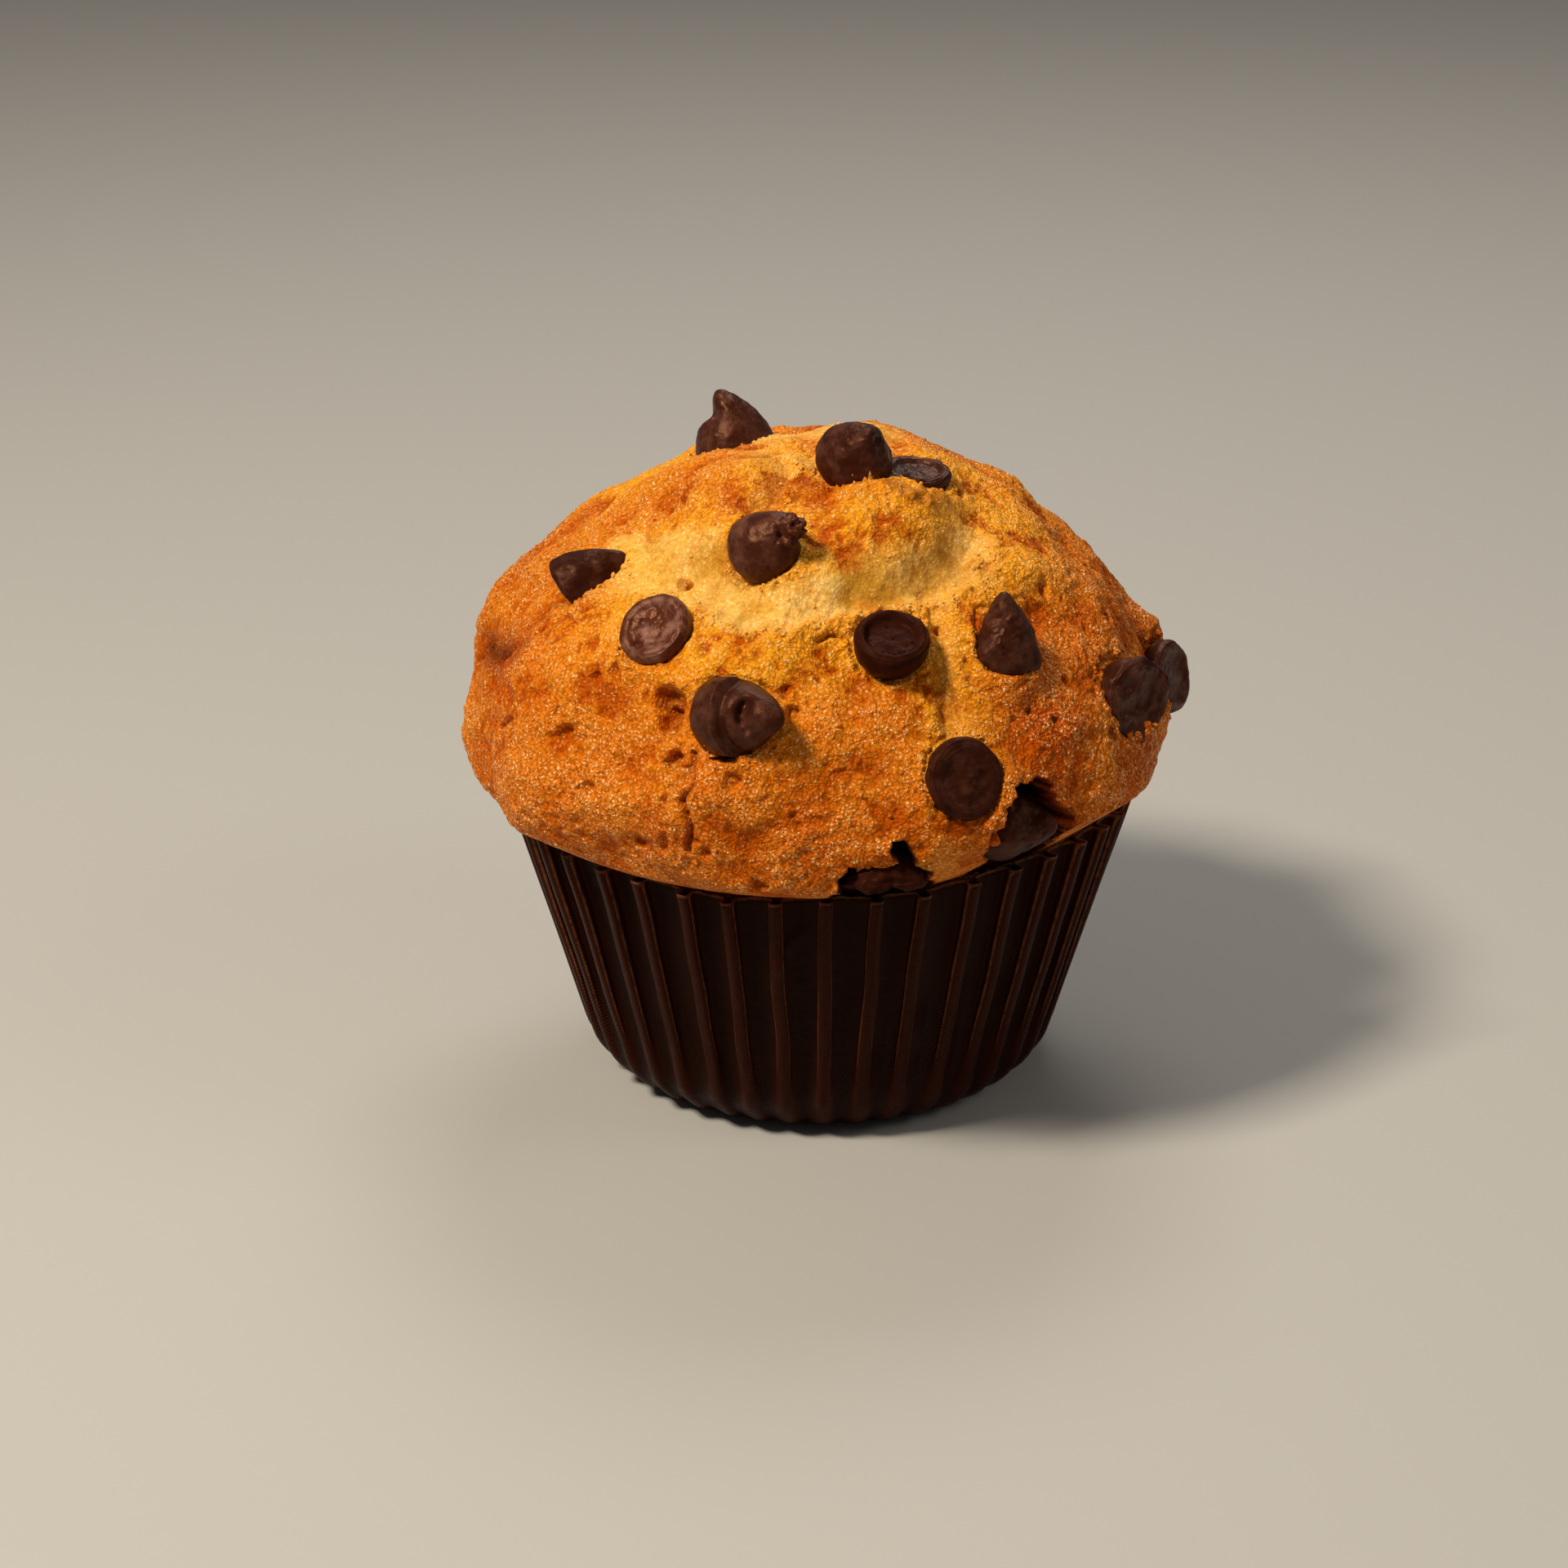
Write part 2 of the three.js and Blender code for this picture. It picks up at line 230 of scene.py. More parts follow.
def fluff(points, size, octaves=1):
    """Smooth noise of about -1 to 1 at points in millimetres; size is the width of its waves."""
    total = np.zeros(len(points))
    for octave in range(octaves):
        spots = points * (2 ** octave / size) + 17.3 * octave
        cell = np.floor(spots).astype(np.int64)
        part = spots - cell
        ease = part ** 3 * (part * (6 * part - 15) + 10)
        for corner in np.ndindex(2, 2, 2):
            slope = 2 * scatter(cell + corner) - 1
            share = np.prod(np.where(corner, ease, 1 - ease), axis=1)
            total += share * ((part - corner) * slope).sum(axis=1) * 1.7 / 2 ** octave
    return total


def cells(points, size):
    """How far points are from the nearest and the next of scattered seeds, in parts of their spacing."""
    spots = points / size
    cell = np.floor(spots).astype(np.int64)
    first = np.full(len(points), 9.0)
    second = first.copy()
    for step in np.ndindex(3, 3, 3):
        near = cell + np.array(step) - 1
        gap = np.linalg.norm(near + scatter(near) - spots, axis=1)
        second = np.minimum(second, np.maximum(first, gap))
        first = np.minimum(first, gap)
    return first, second


# The spun shape: the floor from its middle to the corner, the round corner, and the wall.
corner_heights = [CUP_CORNER * (1 - cos(radians(a))) for a in range(0, 90, 90 // CORNER_ROWS)]
wall_heights = list(np.linspace(CUP_CORNER, CUP_HEIGHT, WALL_ROWS))
bm = bmesh.new()
stations = [(r, 0.0) for r in FLOOR_RADII] + [(float(cup_radius(z)), z) for z in corner_heights + wall_heights]
line = [bm.verts.new((r, 0, z)) for r, z in stations]
edges = [bm.edges.new(pair) for pair in zip(line, line[1:])]
bmesh.ops.spin(bm, geom=line + edges, axis=(0, 0, 1), cent=(0, 0, 0), angle=2 * pi,
               steps=FLUTES * STEPS_PER_FLUTE, use_merge=True)
bmesh.ops.remove_doubles(bm, verts=bm.verts, dist=0.001)
bmesh.ops.recalc_face_normals(bm, faces=bm.faces)

# The flutes: each ridge is a loop with a narrow neck, and fades to a soft wave at the foot.
place = np.array([v.co[:] for v in bm.verts])
radius = np.hypot(place[:, 0], place[:, 1])
height = place[:, 2]
turn = (np.degrees(np.arctan2(place[:, 1], place[:, 0])) - FLUTE_TURN) / (360 / FLUTES) - 0.5
flute = np.round(turn)
step = np.round((turn - flute) * STEPS_PER_FLUTE).astype(int)
up = np.clip(height / CUP_HEIGHT, 0, 1)
on_wall = smoothstep(radius, *FLUTES_BEGIN)
half_pitch = pi * radius / FLUTES
wave_side = np.abs(step) / (STEPS_PER_FLUTE / 2) * half_pitch
in_valley = np.array([0] * len(LOOP_SIDE) + VALLEY_SIDE)[np.abs(step)]
in_loop = np.array(LOOP_SIDE + [0] * len(VALLEY_SIDE))[np.abs(step)]
valley_side = LOOP_SIDE[-1] + in_valley * (half_pitch - LOOP_SIDE[-1])
loop_side = np.where(np.abs(step) < len(LOOP_SIDE), in_loop, valley_side)
looped = smoothstep(up, *LOOPS_BEGIN)
side = wave_side + (loop_side - wave_side) * looped
wave_deep = 0.5 - 0.5 * np.cos(pi * np.abs(step) / (STEPS_PER_FLUTE / 2))
deep = wave_deep + (np.array(LOOP_DEEP)[np.abs(step)] - wave_deep) * looped
wander = fluff(np.column_stack([flute * 33.3, height, np.full(len(place), 37.8)]), 8)
lean = np.array([RIDGE_LEANS.get(int(f), 0) for f in flute + FLUTES // 4])
near_ridge = 1 - side / np.maximum(half_pitch, 0.01)
angle = np.radians((flute + 0.5) * (360 / FLUTES) + FLUTE_TURN + (lean + 0.5 * wander) * on_wall * near_ridge)
angle += np.sign(step) * side / np.maximum(radius, 1)
depth = flute_depth(height) * (1 + 0.1 * wander)
soft_dent = fluff(np.column_stack([place[:, 0], place[:, 1], height * 0.6]), 7)
wall_radius = radius - (deep * depth + SOFT_DENTS * (0.5 + 0.5 * soft_dent)) * on_wall

# The crease.
front_turn = (np.degrees(angle) + 90 + 180) % 360 - 180
across = front_turn * radians(1) * wall_radius
crease_gap = np.full(len(place), 99.0)
for (x0, z0), (x1, z1) in zip(CREASE, CREASE[1:]):
    crease_gap = np.minimum(crease_gap, leg_gap(across, height, x0, z0, x1, z1))
wall_radius += CREASE_RISE * np.exp(-(crease_gap / CREASE_WIDTH) ** 2) * on_wall

# The rim stands a little higher at the right of the front, and each flute ends at its own height.
lift = rim_lift(front_turn) + RIM_UNEVEN * np.sin(flute * 1.7) + 0.1 * wander
place = np.column_stack([wall_radius * np.cos(angle), wall_radius * np.sin(angle),
                         height + lift * smoothstep(up, 0.5, 1)])
for vert, p in zip(bm.verts, place):
    vert.co = p

# Greaseproof paper, dyed in the pulp and pressed: a deep brown with a dull waxy gloss, finely
# crushed low on the wall. A redder glow is painted along each ridge as painted light, the valleys
# keep the dark colour as painted shade, and painted highlight lines run along the ridges' edges.
paper, output = new_material("brown_greaseproof_paper")
edge = add(paper, "ShaderNodeAttribute", {}, attribute_name="fold")
lit = add(paper, "ShaderNodeAttribute", {}, attribute_name="painted_ridge_glow")
phase = add(paper, "ShaderNodeAttribute", {}, attribute_name="chevron")
crush = add(paper, "ShaderNodeAttribute", {}, attribute_name="crush")
where = add(paper, "ShaderNodeTexCoord", {})
fibre = add(paper, "ShaderNodeTexNoise", {"Vector": where.outputs["Object"], "Scale": 1 / (FIBRE * MM),
                                          "Detail": 4.0})
blotch = add(paper, "ShaderNodeTexNoise", {"Vector": where.outputs["Object"], "Scale": 1 / (BLOTCH * MM),
                                           "Detail": 3.0})
jitter = add(paper, "ShaderNodeMath", {0: fibre.outputs["Fac"], 1: 5.0, 2: phase.outputs["Fac"]},
             operation="MULTIPLY_ADD")
wave = add(paper, "ShaderNodeMath", {0: jitter.outputs[0]}, operation="SINE")
patchy = add(paper, "ShaderNodeMapRange", {"Value": blotch.outputs["Fac"], "From Min": 0.35, "From Max": 0.6})
crushed = add(paper, "ShaderNodeMath", {0: patchy.outputs[0], 1: crush.outputs["Fac"]}, operation="MULTIPLY")
chevrons = add(paper, "ShaderNodeMath", {0: wave.outputs[0], 1: crushed.outputs[0]}, operation="MULTIPLY")
# Painted light: the ridges are mixed towards the glow colour and the valleys stay dark as painted shade; the
# crinkles add lighter strokes.
crest = add(paper, "ShaderNodeMath", {0: chevrons.outputs[0], 1: 0.25, 2: lit.outputs["Fac"]},
            operation="MULTIPLY_ADD", use_clamp=True)
colour = add(paper, "ShaderNodeMix", {0: crest.outputs[0], 6: linear(PAPER_COLOUR), 7: linear(PAPER_GLOW_AND_CRINKLE_COLOUR)},
             data_type="RGBA")
# Painted highlight: thin lines of a lighter colour along the edges of each ridge's loop and along the top of the
# rim, broken up by the fibre noise.
highlight_line = add(paper, "ShaderNodeMapRange", {"Value": edge.outputs["Fac"], "From Min": 0.45, "From Max": 1.0})
highlight_breaks = add(paper, "ShaderNodeMapRange", {"Value": fibre.outputs["Fac"], "From Min": 0.3, "From Max": 0.6,
                                          "To Min": 0.3})
highlight_share = add(paper, "ShaderNodeMath", {0: highlight_line.outputs[0], 1: highlight_breaks.outputs[0]}, operation="MULTIPLY")
highlighted = add(paper, "ShaderNodeMix", {0: highlight_share.outputs[0], 6: colour.outputs[2], 7: linear(PAPER_HIGHLIGHT_COLOUR)},
            data_type="RGBA")
rough = add(paper, "ShaderNodeMapRange", {"Value": fibre.outputs["Fac"], "To Min": 0.36, "To Max": 0.56})
surface = add(paper, "ShaderNodeMath", {0: chevrons.outputs[0], 1: 0.6, 2: fibre.outputs["Fac"]},
              operation="MULTIPLY_ADD")
bump = add(paper, "ShaderNodeBump", {"Height": surface.outputs[0], "Strength": 0.6, "Distance": 0.14 * MM})
shader = add(paper, "ShaderNodeBsdfPrincipled", {
    "Base Color": highlighted.outputs[2], "Roughness": rough.outputs[0], "Normal": bump.outputs[0],
    "Specular IOR Level": 0.12, "Specular Tint": linear(PAPER_SHEEN)})
paper.node_tree.links.new(shader.outputs[0], output.inputs[0])

cup = finish_piece("pleated_paper_cup", bm, paper)
# Where the painted highlight lines lie: both edges of each loop, and the top of the rim.
edge_highlight = np.interp(np.abs(step), [1, 2, 3, 4, 5], [0, 0.3, 1, 0.3, 0]) * looped
for name, values in {
    "fold": np.maximum(edge_highlight * on_wall, smoothstep(up, 0.992, 1)),
    # Painted glow, strongest beside each ridge's edge and fading to painted shade in the valley.
    "painted_ridge_glow": np.interp(np.abs(step), [0, 3, 6, 9], [0.3, 0.45, 0.2, 0.05]) * on_wall,
    "chevron": 2 * pi * (height - 0.9 * side) / CHEVRON_SPACING,
    "crush": (1 - 0.75 * smoothstep(up, 0.3, 0.7)) * on_wall,
}.items():
    cup.data.attributes.new(name, "FLOAT", "POINT").data.foreach_set("value", values.astype(np.float32))
thickness = cup.modifiers.new("paper_thickness", "SOLIDIFY")
thickness.thickness = PAPER_THICKNESS * MM
thickness.offset = -1
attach(cup, "root")
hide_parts("paper_cup")


# ---- Chips, their places ----
# Drops of dark chocolate that were folded into the batter and strewn on top before baking. Each
# has its middle (azimuth, distance from the axis, height), the way its tip points (azimuth,
# elevation), its width and its height. Lengths are in millimetres.
# slim: how much its sides draw in. dish: how deep its flat face has sunk. melt: how much the oven
# has rounded and puckered it. bloom: how much pale cocoa butter lies on it, together with painted
# light: a chip that faces the light is painted paler, warmer and glossier, one that faces away
# darker. ledge: how far up its left side, in parts of its height, a step runs round it. bend: how
# far the tip has curled to the right and up, as seen from the front.
# The lists go (right, up) from the middle, as seen from the front. In parts of the width: press
# has dents from the front (place, reach, depth; a bulge has a depth below 0), dent has ones that go
# right round, and rough has broken or wrinkled skin (place, reach, and roughness in millimetres).
# In millimetres: cover has the places where the crust stands over the chip (place, reach, height),
# with stain for how brown it is there, and drops has beads of cocoa butter.
CHIPS = [
    {"middle": (144, 12.1, 70.9), "tip": (160, 80), "size": 9.2, "height": 7.0, "slim": 0.1,
     "bend": (-0.3, -0.2), "melt": 0.35, "bloom_and_light": 0.8,
     "press": [(-0.2, 0.06, 0.06, 0.08), (-0.24, -0.04, 0.08, 0.05), (0.1, -0.1, 0.25, 0.03)],
     "dent": [(-0.32, 0.14, 0.13, 0.09), (-0.16, 0.36, 0.08, -0.03)], "rough": [(0.0, 0.0, 0.4, 0.05)]},
    {"middle": (-69, 11.2, 73.0), "tip": (-68, 44), "size": 8.4, "height": 6.6, "slim": 0.04,
     "bend": (0.1, -0.2), "melt": 0.4, "bloom_and_light": 0.6,
     "press": [(0.22, 0.1, 0.05, 0.09), (0.25, -0.02, 0.05, 0.08), (0.26, -0.14, 0.06, 0.05),
               (0.12, 0.2, 0.08, -0.05), (-0.05, -0.2, 0.2, 0.02)], "dent": [(0.42, 0.22, 0.13, 0.06)],
     "rough": [(0.1, 0.1, 0.4, 0.08)], "cover": [(-0.6, -4.2, 1.5, 0.3), (1.6, -3.9, 1.5, 0.3)]},
    {"middle": (-32.7, 12.0, 67.4), "tip": (91, -82), "size": 7.2, "height": 5.6, "dish": 0.25, "melt": 0.6,
     "stain": 0.45, "rough": [(-0.3, -0.05, 0.3, 0.3), (0.0, 0.2, 0.5, 0.08)],
     "cover": [(-2.9, -0.4, 1.2, 0.6), (-1.5, -0.9, 1.2, 0.8), (0.2, -1.2, 1.3, 0.8), (1.9, -1.1, 1.2, 0.6)]},
    {"middle": (-103, 21.6, 66.4), "tip": (-45, 38), "size": 7.9, "height": 7.0, "bend": (0.7, 0.4),
     "melt": 0.4, "bloom_and_light": 0.9,
     "press": [(0.1, 0.06, 0.06, 0.13), (0.16, -0.03, 0.04, 0.07), (0.26, 0.18, 0.12, -0.04),
               (0.34, -0.14, 0.1, 0.09)], "dent": [(0.4, 0.02, 0.1, 0.1)],
     "rough": [(0.25, 0.15, 0.2, 0.7), (0.17, 0.02, 0.12, 0.5), (-0.1, 0.0, 0.4, 0.06)],
     "drops": [(0.6, -0.6), (0.1, -0.2), (-0.5, -2.9)]},
    {"middle": (-153.5, 26.9, 59.9), "tip": (2, 38), "size": 7.4, "height": 6.8, "slim": 0.1,
     "bend": (0.7, -0.2), "melt": 0.5, "press": [(0.05, -0.08, 0.16, 0.06)], "rough": [(0.1, 0.0, 0.3, 0.1)],
     "cover": [(-2.8, -3.6, 1.2, 0.5), (1.3, -3.4, 1.2, 0.6), (2.9, -1.4, 1.0, 0.4)], "drops": [(-0.1, -1.0)]},
    {"middle": (-122.9, 29.4, 57.1), "tip": (53.4, -43.7), "size": 7.7, "height": 6.4, "dish": 0.22,
     "melt": 0.5, "bloom_and_light": 1.6,
     "press": [(-0.36, -0.1, 0.06, 0.07), (-0.27, 0.2, 0.06, 0.05), (0.0, 0.0, 0.25, 0.02),
               (-0.12, -0.16, 0.08, -0.03)], "rough": [(-0.1, 0.1, 0.45, 0.08)],
     "cover": [(-1.3, -3.3, 1.1, 0.4), (1.8, -2.8, 1.1, 0.4), (3.4, -0.9, 0.9, 0.4)], "drops": [(3.0, -0.2)]},
    {"middle": (-76, 29.2, 56.9), "tip": (97, -64), "size": 7.8, "height": 5.9, "dish": 0.6, "melt": 0.25,
     "bloom_and_light": 0, "rough": [(0.25, 0.0, 0.14, 0.1)],
     "cover": [(3.4, -2.0, 1.0, 0.3), (-2.0, -3.9, 1.1, 0.3), (0.5, -4.4, 1.2, 0.3)],
     "drops": [(-0.5, 2.9), (-0.3, 2.8), (-2.2, 2.0), (-2.0, 1.5), (-1.9, 1.0), (-0.9, 0.3), (-0.3, 0.1),
               (0.3, 0.1), (0.9, 0.2), (1.6, 1.1), (2.2, 1.3), (2.7, 1.7), (3.0, 2.3), (2.7, 2.9), (2.2, 3.3),
               (-4.2, 0.9), (-3.9, 0.2), (-3.4, -1.4), (-2.9, -1.8)]},
    {"middle": (-53, 31.6, 58.0), "tip": (107, 83), "size": 7.2, "height": 7.5, "slim": 0.08,
     "bend": (-0.3, 0.2), "melt": 0.6, "press": [(0.3, -0.05, 0.3, 0.06), (-0.4, -0.3, 0.2, -0.14)],
     "rough": [(-0.1, 0.1, 0.35, 0.2)], "cover": [(-3.4, 0.2, 1.1, 0.3)], "drops": [(-0.4, -1.4), (-0.7, -2.2)]},
    {"middle": (-101.8, 36.3, 52.8), "tip": (-46, 18), "size": 8.2, "height": 9.4, "bend": (0.3, -0.5),
     "melt": 0.35, "bloom_and_light": 0.5, "ledge": 0.4,
     "press": [(0.0, 0.14, 0.07, 0.13), (-0.05, 0.04, 0.07, 0.14), (-0.05, -0.07, 0.07, 0.14),
               (0.02, -0.18, 0.06, 0.1)], "cover": [(-3.6, -3.4, 1.0, 0.3)]},
    {"middle": (-29.4, 36.1, 48.6), "tip": (129, -7), "size": 8.8, "height": 6.8, "dish": 0.1, "melt": 0.9,
     "press": [(0.14, -0.15, 0.12, 0.07), (0.2, 0.16, 0.12, -0.04), (-0.1, -0.2, 0.1, 0.05),
               (0.05, 0.1, 0.06, 0.04)], "rough": [(-0.1, -0.3, 0.25, 0.15)],
     "cover": [(3.0, -3.6, 1.0, 0.4), (1.0, -4.4, 1.0, 0.4), (-1.4, -4.6, 0.9, 0.4)]},
    {"middle": (-4.4, 35.8, 45.1), "tip": (150, -15), "size": 7.8, "height": 7.0, "dish": 0.2, "melt": 0.5,
     "bloom_and_light": 0.5},
    {"middle": (-68.2, 36.8, 45.5), "tip": (117, -22), "size": 8.3, "height": 6.2, "dish": 0.08, "melt": 0.35,
     "bloom_and_light": 0.12,
     "press": [(-0.05, 0.1, 0.12, 0.03), (0.12, -0.2, 0.1, -0.03), (0.3, 0.0, 0.06, 0.03),
               (0.16, 0.02, 0.05, -0.02)], "rough": [(0.1, -0.1, 0.3, 0.05)],
     "drops": [(-0.6, 1.5), (2.4, 0.8), (2.7, 0.8)]},
    {"middle": (-57, 36.8, 39.4), "tip": (-13, 3), "size": 7.8, "height": 7.6, "melt": 0.6,
     "press": [(0.1, 0.25, 0.1, -0.08), (0.2, 0.05, 0.12, 0.07), (-0.3, 0.1, 0.12, 0.08),
               (-0.1, -0.25, 0.14, -0.06)], "rough": [(0.0, 0.0, 0.5, 0.15)],
     "cover": [(-3.4, 0.6, 1.2, 0.4), (-3.0, -1.0, 1.2, 0.4)]},
    {"middle": (-79.4, 35.3, 36.5), "tip": (91, 78), "size": 8.8, "height": 4.4, "melt": 1.2, "bloom_and_light": 0,
     "press": [(-0.2, 0.1, 0.12, 0.08), (0.1, 0.1, 0.1, -0.06)], "rough": [(0.0, -0.05, 0.5, 0.25)],
     "cover": [(-1.9, 1.1, 1.2, 0.4), (-0.3, 1.0, 1.2, 0.4), (1.0, 1.4, 0.9, 0.4), (3.9, 0.6, 1.1, 0.4)]},
    {"middle": (40, 36.4, 48.6), "tip": (150, 55), "size": 9.0, "height": 7.2, "bend": (0.8, 0), "melt": 0.5},
    {"middle": (66, 30.6, 54.2), "tip": (-110, -42), "size": 8.6, "height": 6.4, "dish": 0.4, "melt": 0.6},
    {"middle": (95, 27.4, 60.6), "tip": (40, 42), "size": 8.8, "height": 7.2, "bend": (0.9, 0), "melt": 0.5,
     "ledge": 0.4},
    {"middle": (124, 31.2, 55.2), "tip": (-54, -38), "size": 8.2, "height": 6.4, "dish": 0.6, "melt": 0.4},
    {"middle": (146, 37.6, 46.4), "tip": (100, 40), "size": 9.2, "height": 7.2, "bend": (-0.7, 0), "melt": 0.6},
    {"middle": (22, 38.0, 40.8), "tip": (60, 60), "size": 8.4, "height": 7.0, "bend": (0.6, 0), "melt": 0.6},
    {"middle": (84, 37.4, 45.6), "tip": (-96, -10), "size": 9.0, "height": 6.6, "dish": 0.25, "melt": 0.5},
    {"middle": (114, 39.2, 42.0), "tip": (128, 52), "size": 8.0, "height": 6.6, "bend": (0.5, 0), "melt": 0.5},
]
CHIP_MIDDLE = 0.45
# The half outline of a drop, in half widths: out from the middle of its flat face, and up to its tip.
CHIP_OUTLINE = [(0, 0), (0.45, 0), (0.88, 0), (0.965, 0.05), (1, 0.2), (0.92, 0.6), (0.64, 1.04), (0.31, 1.4),
                (0, 1.56)]
OUTLINE_TOP = CHIP_OUTLINE[-1][1]


def toward(azimuth, elevation):
    """The unit vector at an azimuth and an elevation."""
    a, e = radians(azimuth), radians(elevation)
    return Vector((cos(a) * cos(e), sin(a) * cos(e), sin(e)))


FRONT = toward(-90, CAMERA_DOWN)
FRONT_RIGHT = Vector((1, 0, 0))
FRONT_UP = FRONT_RIGHT.cross(-FRONT)
FRONT_PLANE = np.array((FRONT_RIGHT, FRONT_UP)).T

for chip in CHIPS:
    azimuth, distance, z = chip["middle"]
    chip["centre"] = Vector((distance * cos(radians(azimuth)), distance * sin(radians(azimuth)), z))
    chip["turn"] = Vector((0, 0, 1)).rotation_difference(toward(*chip["tip"])).to_matrix()
    right, rise = chip.get("bend", (0, 0))
    chip["curl"] = chip["turn"].transposed() @ (right * FRONT_RIGHT + rise * FRONT_UP)
    slim = chip.get("slim", 0)
    chip["outline"] = np.array([
        (r * chip["size"] / 2 * (1 - slim * sin(pi * z / OUTLINE_TOP)), z / OUTLINE_TOP * chip["height"])
        for r, z in CHIP_OUTLINE])


def chip_gap(points, chip):
    """How far points lie outside a chip's skin, below 0 inside it."""
    local = (points - np.array(chip["centre"])) @ np.array(chip["turn"])
    z = local[:, 2] + CHIP_MIDDLE * chip["height"]
    part = np.clip(z / chip["height"], 0, 1)
    r = np.linalg.norm(local[:, :2] - np.array(chip["curl"])[:2] * part[:, None] ** 3, axis=1)
    gap = np.full(len(points), 99.0)
    for (r0, z0), (r1, z1) in zip(chip["outline"], chip["outline"][1:]):
        gap = np.minimum(gap, leg_gap(r, z, r0, z0, r1, z1))
    skin = np.interp(z, chip["outline"][1:, 1], chip["outline"][1:, 0], left=-1, right=-1)
    return np.where(r < skin, -gap, gap)


# ---- Crumb ----
# The cake itself, from the flat floor in the cup to the crown, which rose over the rim, browned,
# and tore open in rings as the middle kept rising. The crust is a sugary, oily grain that broke
# in crumbly edges. Where it tore, the paler, porous inside shows. Its skin is laid in four sheets
# that meet edge to edge.
CROWN_RADIUS = 38.7
CROWN_CENTRE = 42
CROWN_RISE = 30
RADIAL_POWER = 1.8
RISE_POWER = 1.5
UNDER_RADIUS = 33.5
UNDER_DROP = 9.6
FADE_HEIGHT = 3
FOOT_INSET = 2
WALL_AND_GAP = 0.7
TOP_CELLS = 240
UNDER_ROWS = 46
CUP_ROWS = 8

# At the right of the front the underside draws in and bares the cup's rim: from where to where, in
# degrees to the right, and the line it draws in to.
TUCK_BEGINS = (4, 34)
TUCK_ENDS = (100, 130)
TUCK_RADIUS = 32.2
TUCK_HEIGHT = 33
TUCK_SLOPE = 1.3

# Slow waves of the whole crown.
SWELL_WAVES = 9
SWELL_LONGEST = 42
SWELL_SHORTEST = 13
SWELL_HEIGHT = 0.32

# Plates, humps and hollows: (azimuth, elevation seen from the crown's centre), reach, rise.
LUMPS = [
    ((-150, 14), 15, 0.9), ((-46, 2), 12, 0.9), ((-88, 4), 15, 0.7), ((-84, 52), 9, 1.1), ((-128, 60), 9, 1.0),
    ((-20, 34), 13, 0.6), ((40, 12), 14, 0.9), ((95, 8), 15, 0.9), ((150, 20), 14, 0.8), ((75, 48), 10, 1.0),
    ((176, 10), 6.5, 1.5), ((-178, -6), 9, -1.5), ((157, 46), 12, -1.0), ((38, 57), 8, 1.2), ((88, 68), 8, -0.6),
    ((16, 36), 12, -0.8), ((-10, -18), 7, -1.1), ((-4, -5), 9, -1.1), ((0, 4), 6, -0.5), ((0, 13), 2.4, 1.7),
    ((-56, 20), 2.8, 1.6), ((-51.5, 20.5), 2.2, 1.2), ((-146, 29), 2.6, 1.2), ((-131, 47), 3, 0.7),
    ((-100, 45), 3.2, 0.6), ((-116, 52), 3, 0.7), ((-106, 6), 2.4, 0.7),
]

# Tears: how far the crumb drops behind the broken edge of the lower plate, how wide that edge is,
# how wide the slope back up is, how pale it is, and the edge's route. The slope lies on its left.
TEARS = [
    (1.6, 1.4, 7.2, 0.95, [(-150, 30), (-140, 34), (-131, 36), (-122, 35), (-115, 34), (-107, 31.5), (-98, 31.5),
                           (-90, 34), (-80, 36), (-70, 37), (-60, 36.5), (-50, 40), (-38, 45), (-26, 50)]),
    (1.1, 1.5, 2.6, 0.3, [(-64, 40), (-66.5, 31), (-68.5, 22), (-69, 11)]),
    (1.1, 0.9, 3.0, 0.35, [(-116, 54), (-106, 60), (-108, 70), (-124, 80)]),
    (1.6, 1.2, 6.4, 0.95, [(18, 44), (44, 36), (70, 31), (98, 36), (122, 34), (152, 40)]),
    (1.2, 0.8, 2.8, 0.6, [(101, 40), (109, 26), (105, 12)]),
]

# Cracks and long hollows: how wide, how deep, how dark they are painted (scorch, with painted
# shade in the hollow), and their route.
CRACKS = [
    (2.3, 1.0, 0.85, [(-175, 10.5), (-169, 11.5), (-163, 13)]),
    (1.7, 0.6, 0.35, [(-158, 15.5), (-154.5, 17)]),
    (1.9, 0.3, 0.25, [(-66, 30), (-68.5, 22), (-69, 14)]),
    # This band has no depth: it is painted shade over the right end of the torn valley.
    (3.4, 0.0, 0.3, [(-64, 42), (-53, 42), (-46, 48)]),
    (0.32, 1.1, 0.5, [(-110, 10), (-109, 6), (-110.5, 3), (-109, -1), (-110, -5)]),
    (0.25, 0.7, 0.5, [(-90.5, 29.6), (-88, 31), (-85.5, 30.5)]),
    (0.3, 0.7, 0.5, [(-152, 4), (-148, 7), (-146, 3)]),
    (0.4, 0.8, 0.5, [(60, 14), (64, 18), (63, 23)]),
    (0.35, 0.8, 0.5, [(128, 8), (131, 3), (129, -2)]),
]
